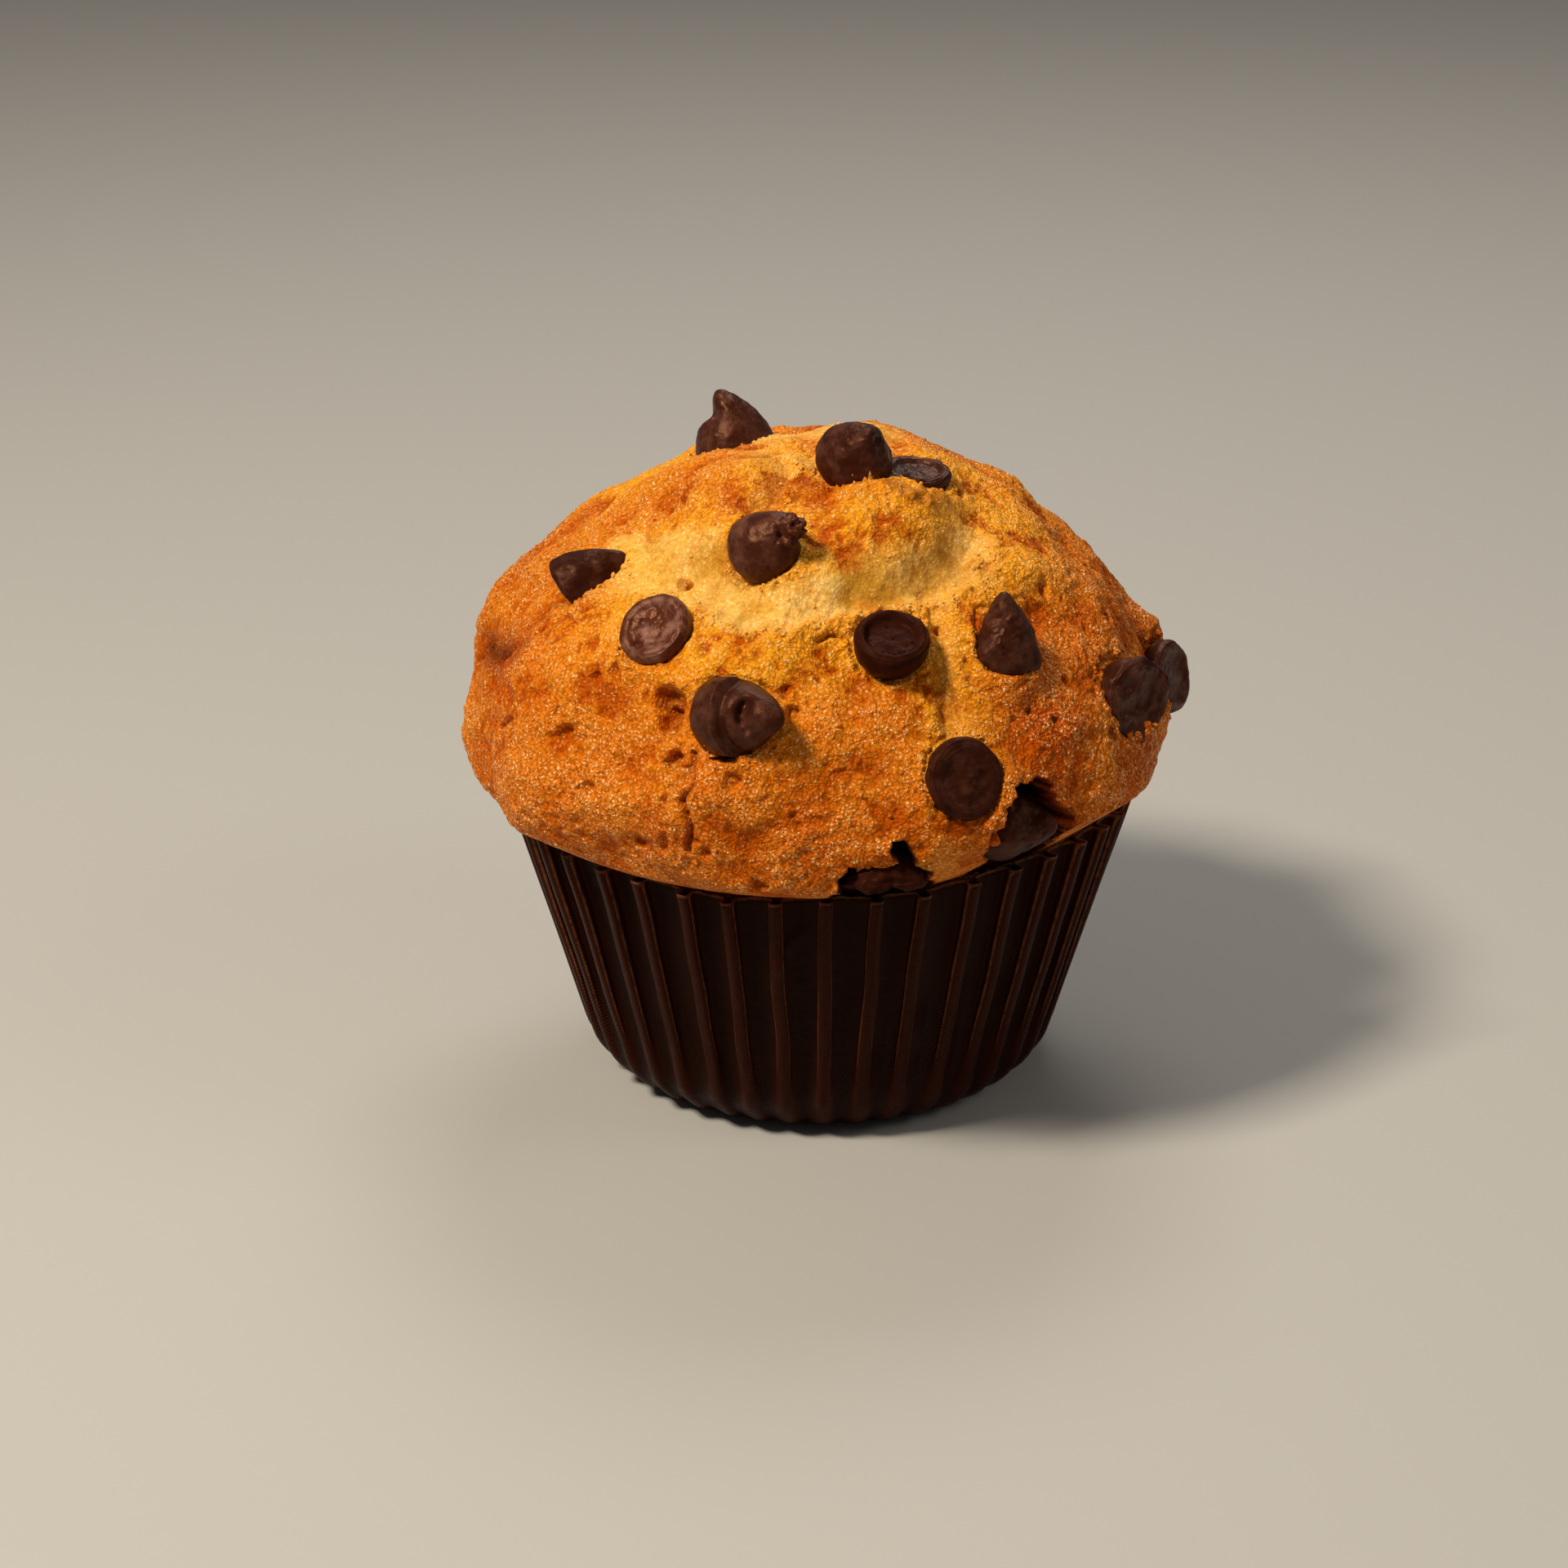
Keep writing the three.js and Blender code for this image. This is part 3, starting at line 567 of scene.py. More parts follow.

# Pits: place, reach, depth, and how dark they are painted: scorch, with painted shade in the hollow.
PITS = [
    ((-115.5, 17), 2.2, 1.9, 0.6), ((-115.2, 14), 1.6, 1.4, 0.5), ((-94.5, 17), 1.2, 1.0, 0.2),
    ((-145, 23.5), 1.5, 0.9, 0.1), ((-131, 18), 0.8, 0.8, 0.1), ((-135, 8), 1.2, 0.9, 0.1),
    ((-137, 11.5), 0.8, 0.7, 0.1), ((-113, 8), 1.3, 1.4, 0.3), ((-111, 6.5), 1.1, 1.3, 0.3),
    ((-124.6, 38.4), 0.9, 1.2, 0.5), ((-126.8, 38.8), 0.7, 0.9, 0.4), ((-153, 21), 0.8, 0.7, 0.2),
    ((-103, 7), 0.9, 0.8, 0.1), ((-65, 30), 0.5, 0.9, 0.3), ((-44, -6), 1.4, 0.7, 0.5), ((-128, 1), 0.9, 0.8, 0.1),
    ((-119, -6), 0.8, 0.8, 0.1), ((-34, 13), 1.1, 0.7, 0.3), ((-39, 7), 1.0, 0.8, 0.4), ((-8, 11), 2.2, 1.2, 0.7),
    ((2, 10), 2.0, 1.0, 0.6), ((-58, 24), 0.6, 0.8, 0.4), ((-50, 12), 0.6, 0.7, 0.4), ((-54, 14), 0.5, 0.7, 0.4),
    ((-47, 60), 0.5, 0.6, 0.3), ((30, 20), 1.4, 0.9, 0.3), ((58, 8), 1.2, 0.8, 0.2), ((110, 30), 1.2, 1.1, 0.3),
    ((132, 4), 1.1, 0.7, 0.2), ((80, 22), 1.0, 0.7, 0.2), ((160, 14), 1.6, 1.1, 0.3), ((50, 28), 0.9, 0.6, 0.2),
    ((12, -2), 1.2, 0.8, 0.3),
]

# Caves where a chip near the edge sank and tore the crust away down to the rim: route, half width.
# Their insides and walls are painted near black as painted shade.
CAVE_RADIUS = 31.6
CAVES = [
    ([(-85.2, -10), (-80, -10.5), (-74.5, -10)], 1.3), ([(-85.5, -15), (-73, -15)], 2.2),
    ([(-85.3, -6.5), (-85.2, -10)], 0.5), ([(-78, -3.5), (-76.4, -6), (-77.6, -9)], 0.5),
    ([(-78, -8.5), (-76.3, -9)], 0.8), ([(-57.5, 1.5), (-55.5, -2), (-52.5, -4)], 2.2),
    ([(-57.6, -7), (-51, -6.5)], 1.8), ([(-57.6, -13), (-49, -12)], 2.6),
]

# Pale crumb beside the tears: route, half width, strength.
PALE_BANDS = [
    ([(-150, 41), (-138, 42), (-122, 43)], 3.6, 0.9),
    ([(-150, 76), (-125, 79), (-104, 78)], 2.2, 0.4),
    ([(40, 78), (90, 80), (140, 76)], 4.5, 0.7),
]

# Crust that is redder: place, reach, strength.
RED_PATCHES = [
    ((-52, 9), 9, 0.85), ((-44, 24), 7, 0.4), ((-30, 4), 10, 0.7), ((-20, 22), 9, 0.5), ((-152, 56), 6, 0.45),
    ((-172, 28), 7, 0.4), ((-128, 58), 4, 0.4), ((-160, 13), 6.5, 0.75), ((-146, 29), 2.2, 0.5),
    # The patches at elevations below 0 make the crown's lower front edge redder and darker.
    ((-90, -6), 9, 0.45), ((-100, -2), 12, 0.2), ((-6, 18), 9, 0.5), ((-138, -9), 12, 0.35), ((-112, -9), 10, 0.3),
    ((20, 10), 14, 0.5), ((70, 14), 12, 0.4), ((130, 16), 12, 0.5), ((170, 24), 10, 0.5), ((80, 58), 8, 0.5),
    ((36, 60), 7, 0.5),
]

# Crust that rose in knobs of a few millimetres: place, reach.
KNOBBLY = [((-152, 6), 22), ((-138, 52), 12), ((-70, 52), 8), ((30, 20), 20), ((120, 10), 22)]
KNOBBLY_EVERYWHERE = 0.45

# The crust's small forms, from the widest to the finest: how wide each is and how high.
WAVE_SIZE, WAVE_HEIGHT = 5.5, 0.46
KNOB_SIZE, KNOB_HEIGHT = 2.6, 0.26
DIMPLE_SIZE, DIMPLE_DEPTH = 2.4, 0.8
WORM_SIZE, WORM_HEIGHT = 1.5, 0.17
CRUMB_SIZE, CRUMB_HEIGHT, EDGE_CRUMB_HEIGHT = 1.0, 0.15, 0.3
DUST_SIZE, DUST_HEIGHT = 0.6, 0.05
# How much calmer the pale crumb is than the crust.
PALE_CALM = 0.6

# Round a chip: how far the crust is shaped beyond it, how finely a ray is tried for its skin, and
# how deep the crust stays under that skin.
POCKET_REACH = 3
RAY_PART = 0.8
RAY_STEPS = 33
UNDER_SKIN = 0.8


def crown_gap(direction, place):
    """The distance over the crown from each direction to a place, in millimetres."""
    return np.arccos(np.clip(direction @ np.array(toward(*place)), -1, 1)) * CROWN_RADIUS


def tuck(front_turn):
    """How far the crown's underside draws in, from 0 to 1."""
    return smoothstep(front_turn, *TUCK_BEGINS) * (1 - smoothstep(front_turn, *TUCK_ENDS))


def route_gap(direction, route):
    """The distance from each direction to a route over the crown, above 0 on its left, and how far along it is."""
    gap = np.full(len(direction), 99.0)
    along = np.zeros(len(direction))
    marks = [np.array(toward(*place)) for place in route]
    for number, (start, end) in enumerate(zip(marks, marks[1:])):
        line = end - start
        t = np.clip((direction - start) @ line / (line @ line), 0, 1)
        apart = np.linalg.norm(direction - start - t[:, None] * line, axis=1) * CROWN_RADIUS
        nearer = apart < np.abs(gap)
        gap = np.where(nearer, apart * np.sign(direction @ np.cross(start, end)), gap)
        along = np.where(nearer, (number + t) / (len(marks) - 1), along)
    return gap, along


# The sheet: a grid for the top, and rows drawn down from its edge for the sides, the underside
# of the crown and the wall in the cup, closed by one face on the floor of the cup.
bm = bmesh.new()
bmesh.ops.create_grid(bm, x_segments=TOP_CELLS, y_segments=TOP_CELLS, size=1)
edge = [e for e in bm.edges if e.is_boundary]
for row in range(TOP_CELLS // 2 + UNDER_ROWS + CUP_ROWS):
    drawn = bmesh.ops.extrude_edge_only(bm, edges=edge)["geom"]
    bmesh.ops.translate(bm, vec=(0, 0, -1), verts=[g for g in drawn if isinstance(g, bmesh.types.BMVert)])
    edge = [g for g in drawn if isinstance(g, bmesh.types.BMEdge) and g.is_boundary]
bmesh.ops.edgeloop_fill(bm, edges=edge)
sheet = np.array([v.co[:] for v in bm.verts])
sheet[:, :2] /= np.abs(sheet[:, :2]).max()

# The outline: how far out and how high each row comes.
t = np.radians(np.linspace(90, 0, 400))
dome = np.column_stack([CROWN_RADIUS * np.cos(t) ** (2 / RADIAL_POWER),
                        CROWN_CENTRE + CROWN_RISE * np.sin(t) ** (2 / RISE_POWER)])
under = np.column_stack([UNDER_RADIUS + (CROWN_RADIUS - UNDER_RADIUS) * np.sin(t),
                         CROWN_CENTRE - UNDER_DROP * np.cos(t)])


def at_arc(curve, part):
    """Points at a part of a curve's length."""
    length = np.concatenate([[0], np.cumsum(np.linalg.norm(np.diff(curve, axis=0), axis=1))])
    return np.column_stack([np.interp(part * length[-1], length, curve[:, i]) for i in (0, 1)])


def inside_cup(z):
    """The cake's radius in the cup at a height."""
    return cup_radius(z) - flute_depth(z) - WALL_AND_GAP


rows = -sheet[:, 2]
flat = np.tan(sheet[:, :2] * pi / 4)
lift = np.tan((1 - 2 * np.minimum(rows, TOP_CELLS / 2) / TOP_CELLS) * pi / 4)
azimuth = np.arctan2(flat[:, 1], flat[:, 0])
polar = np.arctan2(np.hypot(flat[:, 0], flat[:, 1]), lift) / (pi / 2)
outline = at_arc(dome, np.clip(polar, 0, 1))
below = rows > TOP_CELLS / 2
outline[below] = at_arc(under, np.clip((rows[below] - TOP_CELLS / 2) / UNDER_ROWS, 0, 1))
in_cup = rows > TOP_CELLS / 2 + UNDER_ROWS
cup_line = np.array([(inside_cup(CUP_HEIGHT), CUP_HEIGHT + 0.3)]
                    + [(inside_cup(z), z) for z in np.linspace(26, CUP_CORNER, CUP_ROWS - 2)]
                    + [(inside_cup(0.7) - FOOT_INSET, 0.7)])
outline[in_cup] = cup_line[(rows[in_cup] - TOP_CELLS / 2 - UNDER_ROWS - 1).astype(int)]
body = np.column_stack([outline[:, 0] * np.cos(azimuth), outline[:, 0] * np.sin(azimuth), outline[:, 1]])
middle = np.array((0, 0, CROWN_CENTRE))
arm = np.linalg.norm(body - middle, axis=1)
out = (body - middle) / np.maximum(arm, 1e-6)[:, None]
fade = smoothstep(body[:, 2], CUP_HEIGHT + 0.6, CUP_HEIGHT + 0.6 + FADE_HEIGHT)

# The relief, from the slow waves to the crumbs.
relief = np.zeros(len(body))
for k in range(SWELL_WAVES):
    rise = 1 - (2 * k + 1) / SWELL_WAVES
    level = sqrt(1 - rise * rise)
    around = k * pi * (3 - sqrt(5))
    wave_length = SWELL_LONGEST * (SWELL_SHORTEST / SWELL_LONGEST) ** (k / (SWELL_WAVES - 1))
    way = np.array((level * cos(around), level * sin(around), rise))
    relief += SWELL_HEIGHT * np.sin(2 * pi * (out @ way) * CROWN_RADIUS / wave_length + k)
for place, reach, rise in LUMPS:
    relief += rise * np.exp(-(crown_gap(out, place) / reach) ** 2)

ragged = 0.9 * fluff(body, 3.4) + 0.6 * fluff(body + 50, 1.5) + 0.4 * fluff(body + 90, 0.8)
nibble = 0.7 * fluff(body + 130, 1.5) + 0.6 * fluff(body + 170, 0.8)
gold = 0.25 * smoothstep(out[:, 2] + 0.1 * ragged, 0.5, 0.8)
broken_edge = np.zeros(len(body))
pale = np.zeros(len(body))
for drop, edge_width, slope, paleness, route in TEARS:
    gap, along = route_gap(out, route)
    ends = smoothstep(along, 0, 0.1) * (1 - smoothstep(along, 0.9, 1))
    wall = smoothstep(gap + 0.7 * ragged, -edge_width, edge_width) * ends
    relief -= drop * wall * np.exp(-(np.maximum(gap, 0) / slope) ** 2)
    lip = np.exp(-((gap + 0.8 * ragged + 0.9) / 0.7) ** 2) * ends
    relief += lip * (0.12 + 0.3 * nibble)
    broken_edge = np.maximum(broken_edge, lip)
    opened = smoothstep(gap + 1.6 * ragged, -0.35 * slope, 0.15 * slope) * ends
    pale = np.maximum(pale, opened * (1 - smoothstep(gap + 1.5 * ragged, 0.5 * slope, 1.35 * slope)) * paleness)
    gold = np.maximum(gold, np.exp(-(np.maximum(np.abs(gap - 0.5 * slope) - slope, 0) / (0.7 * slope)) ** 2)
                      * smoothstep(along, -0.05, 0.15))
scorch_and_shade = np.zeros(len(body))
for width, depth, dark, route in CRACKS:
    gap = np.abs(route_gap(out, route)[0] + 0.25 * ragged)
    relief -= depth * np.exp(-(gap / width) ** 2)
    scorch_and_shade = np.maximum(scorch_and_shade, dark * np.exp(-(gap / width) ** 2))
for place, reach, depth, dark in PITS:
    gap = crown_gap(out, place) / reach + 0.4 * ragged / reach
    relief -= depth * (1 - smoothstep(gap, 0.5, 1.1))
    scorch_and_shade = np.maximum(scorch_and_shade, dark * (1 - smoothstep(gap, 0.3, 1.0)))
cave = np.zeros(len(body))
for route, half_width in CAVES:
    gap = np.abs(route_gap(out, route)[0]) + 0.7 * ragged
    cave = np.maximum(cave, 1 - smoothstep(gap, half_width - 0.2, half_width + 0.2))
    # Painted shade: each cave's inside and walls are darkened almost to black.
    scorch_and_shade = np.maximum(scorch_and_shade, 0.97 * (1 - smoothstep(gap, half_width + 0.1, half_width + 0.5)))
for route, half_width, strength in PALE_BANDS:
    gap = np.abs(route_gap(out, route)[0]) + 1.6 * ragged
    pale = np.maximum(pale, strength * (1 - smoothstep(gap, half_width - 1.6, half_width + 2.2)))
red = np.zeros(len(body))
for place, reach, strength in RED_PATCHES:
    red = np.maximum(red, strength * np.exp(-(np.maximum(0, crown_gap(out, place) + 1.5 * ragged) / reach) ** 2))
knobbly = np.full(len(body), KNOBBLY_EVERYWHERE)
for place, reach in KNOBBLY:
    knobbly = np.maximum(knobbly, np.exp(-(crown_gap(out, place) / reach) ** 2))

# Soft knobs with folds between them, rows of crumbs, and dimples where bubbles sank.
warped = body + 0.7 * np.column_stack([fluff(body + shift, 2.0) for shift in (210, 250, 290)])
calm = 1 - PALE_CALM * pale
near, far = cells(warped, KNOB_SIZE)
knob = np.minimum(far - near, 0.6) / 0.6 - 0.6
crumbs = 0.55 - cells(warped + 30, CRUMB_SIZE)[0]
worms = 0.4 - np.abs(fluff(warped + 330, WORM_SIZE)) * 2
fine_relief = (WAVE_HEIGHT * fluff(body, WAVE_SIZE, 2) + KNOB_HEIGHT * knob * knobbly * calm
               + WORM_HEIGHT * worms * calm + (CRUMB_HEIGHT + EDGE_CRUMB_HEIGHT * broken_edge) * crumbs
               + DUST_HEIGHT * fluff(body + 330, DUST_SIZE))
sunk = fluff((body + 370) * (1, 1, 0.7), DIMPLE_SIZE) + 0.25 * fluff(body + 410, 1.0)
dimple = smoothstep(sunk, 0.5, 1.05) * calm
relief += fine_relief - DIMPLE_DEPTH * dimple
# Dimples are made redder, and lower in high, which gives them the painted shade of low places.
red = np.maximum(red, 0.25 * dimple)
high = np.clip(0.5 + 0.3 * (fine_relief - fine_relief.mean()) / fine_relief.std() - 0.5 * dimple, 0, 1)

# The pockets. The batter set round each chip: the crust ends in a nibbled edge against the
# chocolate, stays under it inside that edge, and here and there stands over it in a crumbly lump.
near_chip = np.full(len(body), 9.0)
for chip in CHIPS:
    spoke = np.array(chip["centre"]) - middle
    reach = out @ spoke
    aside = np.linalg.norm(out * reach[:, None] - spoke, axis=1)
    widest = max(chip["size"], chip["height"])
    close = np.flatnonzero((reach > 0) & (aside < 0.6 * widest + POCKET_REACH))
    depths = reach[close, None] + np.linspace(-RAY_PART, RAY_PART, RAY_STEPS) * widest
    gaps = chip_gap((middle + out[close, None] * depths[..., None]).reshape(-1, 3), chip).reshape(depths.shape)
    apart = gaps.min(axis=1)
    last = depths.shape[1] - 1 - np.argmax(gaps[:, ::-1] < 0, axis=1)
    skin = depths[np.arange(len(close)), last]
    level = arm[close] + relief[close]
    level += np.where(apart > 0, np.exp(-((apart - 0.7) / 0.5) ** 2) * (0.1 + 0.5 * nibble[close])
                      - 0.35 * np.exp(-(apart / 0.25) ** 2), 0)
    kept = smoothstep(apart + 0.1 + 0.5 * nibble[close], -0.2, 0.1)
    for right, rise, lump, over in chip.get("cover", []):
        spot = middle + out[close] * np.where(apart < 0, skin, level)[:, None] - np.array(chip["centre"])
        gap = np.hypot(spot @ np.array(FRONT_RIGHT) - right, spot @ np.array(FRONT_UP) - rise)
        gap += 0.6 * ragged[close]
        covered = (1 - smoothstep(gap, lump - 0.5, lump + 0.3)) * (spot @ np.array(FRONT) > -2)
        over_skin = np.minimum(skin + over * (1 + 0.6 * nibble[close]), level + 3.5)
        want = np.where(apart < 0, over_skin, level + 0.4 * over)
        level += np.maximum(want - level, 0) * covered
        kept = np.maximum(kept, covered)
        scorch_and_shade[close] = np.maximum(scorch_and_shade[close], covered * chip.get("stain", 0))
    level = np.where(apart < 0, level - np.maximum(level - skin + UNDER_SKIN, 0) * (1 - kept), level)
    relief[close] = level - arm[close]
    near_chip[close] = np.minimum(near_chip[close], apart)
body += out * (relief * fade)[:, None]

# The underside draws in, and the caves open down to the rim.
front_turn = (np.degrees(azimuth) + 90 + 180) % 360 - 180
distance = np.hypot(body[:, 0], body[:, 1])
tuck_line = TUCK_RADIUS + TUCK_SLOPE * (body[:, 2] - TUCK_HEIGHT)
drawn_in = np.maximum(distance - tuck_line, 0) * tuck(front_turn) * (body[:, 2] > CUP_HEIGHT - 1)
drawn_in = np.maximum(drawn_in, np.maximum(distance - CAVE_RADIUS, 0) * cave)
body[:, :2] *= (1 - drawn_in / np.maximum(distance, 1))[:, None]
for vert, p in zip(bm.verts, body):
    vert.co = p
bmesh.ops.recalc_face_normals(bm, faces=bm.faces)
bm.normal_update()

# Baked cake crust and crumb: golden to red brown where the oven reached it, yellow and matt
# where it tore, with painted shade in its folds, hollows and pores, and an oily grain with painted glints.
CRUST_COLOUR = "#d96a0a"
CRUST_RED = "#b03c07"
CRUST_GOLD = "#fba31a"
# The colour of the painted shade in the crust's low places.
CRUST_FOLD_SHADE = "#bd5207"
CRUMB_PALE = "#f4ca70"
CRUMB_YELLOW = "#efb443"
# The colour of the painted shade in the crumb's pores and low places.
CRUMB_SHADE_COLOUR = "#cf9530"
# The darkening colours: scorch in cracks and pits, and painted shade inside the caves.
SCORCH_AND_SHADE_COLOUR = "#6e1a04"
BURNT_AND_SHADE_COLOUR = "#2c0b02"
# The colours of the painted glints.
SUGAR_GLINT_COLOUR = "#ffe6a8"
THREAD_GLINT_COLOUR = "#f6a040"
CRUST_SHEEN = "#ffb860"
# How wide the spots of the crust's patterns are, from its patches of colour to its dust.
PATCH = 7
RICHNESS = 1.6
ROW_BEND = 1.3
PORE = 0.9
FOLD = 0.55
GRAIN = 0.36
DUST = 0.3

cake, output = new_material("baked_cake_crust")
pale_share = add(cake, "ShaderNodeAttribute", {}, attribute_name="pale")
red_share = add(cake, "ShaderNodeAttribute", {}, attribute_name="red")
scorch_and_shade_share = add(cake, "ShaderNodeAttribute", {}, attribute_name="scorch_and_shade")
high_share = add(cake, "ShaderNodeAttribute", {}, attribute_name="high")
gold_share = add(cake, "ShaderNodeAttribute", {}, attribute_name="gold")
where = add(cake, "ShaderNodeTexCoord", {})
patch = add(cake, "ShaderNodeTexNoise", {"Vector": where.outputs["Object"], "Scale": 1 / (PATCH * MM),
                                          "Detail": 5.0, "Roughness": 0.65})
# The grains lie in worm-like rows, so the cells they come from are bent by a slower noise first.
bend = add(cake, "ShaderNodeTexNoise", {"Vector": where.outputs["Object"], "Scale": 1 / (ROW_BEND * MM),
                                         "Detail": 1.0})
bent = add(cake, "ShaderNodeVectorMath", {0: bend.outputs["Color"], 1: (0.9 * MM,) * 3, 2: where.outputs["Object"]},
           operation="MULTIPLY_ADD")
grain = add(cake, "ShaderNodeTexVoronoi", {"Vector": bent.outputs[0], "Scale": 1 / (GRAIN * MM)}, feature="F1")
pore = add(cake, "ShaderNodeTexVoronoi", {"Vector": bent.outputs[0], "Scale": 1 / (PORE * MM)}, feature="F1")
dust = add(cake, "ShaderNodeTexNoise", {"Vector": where.outputs["Object"], "Scale": 1 / (DUST * MM), "Detail": 2.0})
patch_share = add(cake, "ShaderNodeMapRange", {"Value": patch.outputs["Fac"], "From Min": 0.36, "From Max": 0.64})
raised = add(cake, "ShaderNodeMapRange", {"Value": high_share.outputs["Fac"], "From Min": 0.0, "From Max": 0.5})
golden = add(cake, "ShaderNodeMath", {0: patch_share.outputs[0], 1: 0.35, 2: gold_share.outputs["Fac"]},
             operation="MULTIPLY_ADD", use_clamp=True)
crust = add(cake, "ShaderNodeMix", {0: golden.outputs[0], 6: linear(CRUST_COLOUR), 7: linear(CRUST_GOLD)},
            data_type="RGBA")
browned = add(cake, "ShaderNodeMix", {0: red_share.outputs["Fac"], 6: crust.outputs[2], 7: linear(CRUST_RED)},
              data_type="RGBA")
# Painted shade: the low places of the relief are mixed towards a darker orange.
fold_shaded = add(cake, "ShaderNodeMix", {0: raised.outputs[0], 6: linear(CRUST_FOLD_SHADE), 7: browned.outputs[2]},
             data_type="RGBA")
open_pore = add(cake, "ShaderNodeMapRange", {"Value": pore.outputs["Distance"], "From Min": 0.1, "From Max": 0.45,
                                              "To Min": 0.25})
crumb_wall = add(cake, "ShaderNodeMix", {0: patch_share.outputs[0], 6: linear(CRUMB_YELLOW), 7: linear(CRUMB_PALE)},
                 data_type="RGBA")
# Painted shade: the pores and the low places of the torn crumb are mixed towards a darker olive.
shaded = add(cake, "ShaderNodeMath", {0: open_pore.outputs[0], 1: raised.outputs[0]}, operation="MULTIPLY")
crumb_tone = add(cake, "ShaderNodeMix", {0: shaded.outputs[0], 6: linear(CRUMB_SHADE_COLOUR), 7: crumb_wall.outputs[2]},
                 data_type="RGBA")
opened = add(cake, "ShaderNodeMix", {0: pale_share.outputs["Fac"], 6: fold_shaded.outputs[2], 7: crumb_tone.outputs[2]},
             data_type="RGBA")
# Painted shade between the fine grains and painted light on their tops, milder on the pale crumb.
hollows = add(cake, "ShaderNodeMapRange", {"Value": grain.outputs["Distance"], "From Min": 0.25, "From Max": 0.75,
                                            "To Min": 1.15, "To Max": 0.62})
evened = add(cake, "ShaderNodeMath", {0: pale_share.outputs["Fac"], 1: 0.6}, operation="MULTIPLY")
shade = add(cake, "ShaderNodeMix", {0: evened.outputs[0], 2: hollows.outputs[0], 3: 1.0})
grain_shaded = add(cake, "ShaderNodeVectorMath", {0: opened.outputs[2], 1: shade.outputs[0]}, operation="MULTIPLY")
# Painted glints: short crooked threads of painted highlight along the finest folds, and here and
# there a bead of sugar painted cream as a glint; both are raised a little and made glossier.
# Slow noise leaves some patches rich in them and others bare.
fold_noise = add(cake, "ShaderNodeTexNoise", {"Vector": where.outputs["Object"], "Scale": 1 / (FOLD * MM),
                                               "Detail": 1.0})
off_middle = add(cake, "ShaderNodeMath", {0: fold_noise.outputs["Fac"], 1: 0.5}, operation="SUBTRACT")
fold_gap = add(cake, "ShaderNodeMath", {0: off_middle.outputs[0]}, operation="ABSOLUTE")
thread = add(cake, "ShaderNodeMapRange", {"Value": fold_gap.outputs[0], "From Min": 0.01, "From Max": 0.08,
                                           "To Min": 0.6, "To Max": 0.0})
bead = add(cake, "ShaderNodeMapRange", {"Value": grain.outputs["Distance"], "From Min": 0.2, "From Max": 0.42,
                                         "To Min": 1.0, "To Max": 0.0})
chosen = add(cake, "ShaderNodeSeparateColor", {0: grain.outputs["Color"]})
richness = add(cake, "ShaderNodeTexNoise", {"Vector": where.outputs["Object"], "Scale": 1 / (RICHNESS * MM),
                                             "Detail": 2.0})
rich = add(cake, "ShaderNodeMath", {0: richness.outputs["Fac"], 1: 1.6, 2: high_share.outputs["Fac"]},
           operation="MULTIPLY_ADD")
share = add(cake, "ShaderNodeMath", {0: chosen.outputs[1], 1: 0.7, 2: rich.outputs[0]},
            operation="MULTIPLY_ADD")
few = add(cake, "ShaderNodeMapRange", {"Value": share.outputs[0], "From Min": 1.25, "From Max": 1.95,
                                        "To Min": 0.0, "To Max": 0.95})
rare = add(cake, "ShaderNodeMapRange", {"Value": chosen.outputs[0], "From Min": 0.4, "From Max": 0.6,
                                        "To Max": 0.9})
beads = add(cake, "ShaderNodeMath", {0: bead.outputs[0], 1: rare.outputs[0]}, operation="MULTIPLY")
thread_glint_share = add(cake, "ShaderNodeMath", {0: thread.outputs[0], 1: few.outputs[0]}, operation="MULTIPLY")
sugar_glint_share = add(cake, "ShaderNodeMath", {0: beads.outputs[0], 1: few.outputs[0]}, operation="MULTIPLY")
thread_glinted = add(cake, "ShaderNodeMix", {0: thread_glint_share.outputs[0], 6: grain_shaded.outputs[0], 7: linear(THREAD_GLINT_COLOUR)},
               data_type="RGBA")
sugar_and_glints = add(cake, "ShaderNodeMath", {0: thread_glint_share.outputs[0], 1: sugar_glint_share.outputs[0]}, operation="ADD")
sugar_glinted = add(cake, "ShaderNodeMix", {0: sugar_glint_share.outputs[0], 6: thread_glinted.outputs[2], 7: linear(SUGAR_GLINT_COLOUR)},
              data_type="RGBA")
# Darkening: scorched cracks and pits with painted shade in them, brown stains under crust covers, and painted shade
# inside the caves.
deepest_dark = add(cake, "ShaderNodeMapRange", {"Value": scorch_and_shade_share.outputs["Fac"], "From Min": 0.7,
                                              "From Max": 0.95})
dark_tone = add(cake, "ShaderNodeMix", {0: deepest_dark.outputs[0], 6: linear(SCORCH_AND_SHADE_COLOUR), 7: linear(BURNT_AND_SHADE_COLOUR)},
                data_type="RGBA")
darkened = add(cake, "ShaderNodeMix", {0: scorch_and_shade_share.outputs["Fac"], 6: sugar_glinted.outputs[2],
                                      7: dark_tone.outputs[2]}, data_type="RGBA")
grain_height = add(cake, "ShaderNodeMath", {0: grain.outputs["Distance"], 1: -1.0, 2: dust.outputs["Fac"]},
                   operation="MULTIPLY_ADD")
sugar_height = add(cake, "ShaderNodeMath", {0: sugar_and_glints.outputs[0], 1: 0.45, 2: grain_height.outputs[0]},
                   operation="MULTIPLY_ADD")
softened = add(cake, "ShaderNodeMapRange", {"Value": pale_share.outputs["Fac"], "To Min": 0.75, "To Max": 0.3})
bump = add(cake, "ShaderNodeBump", {"Height": sugar_height.outputs[0], "Strength": softened.outputs[0],
                                    "Distance": 0.2 * MM})
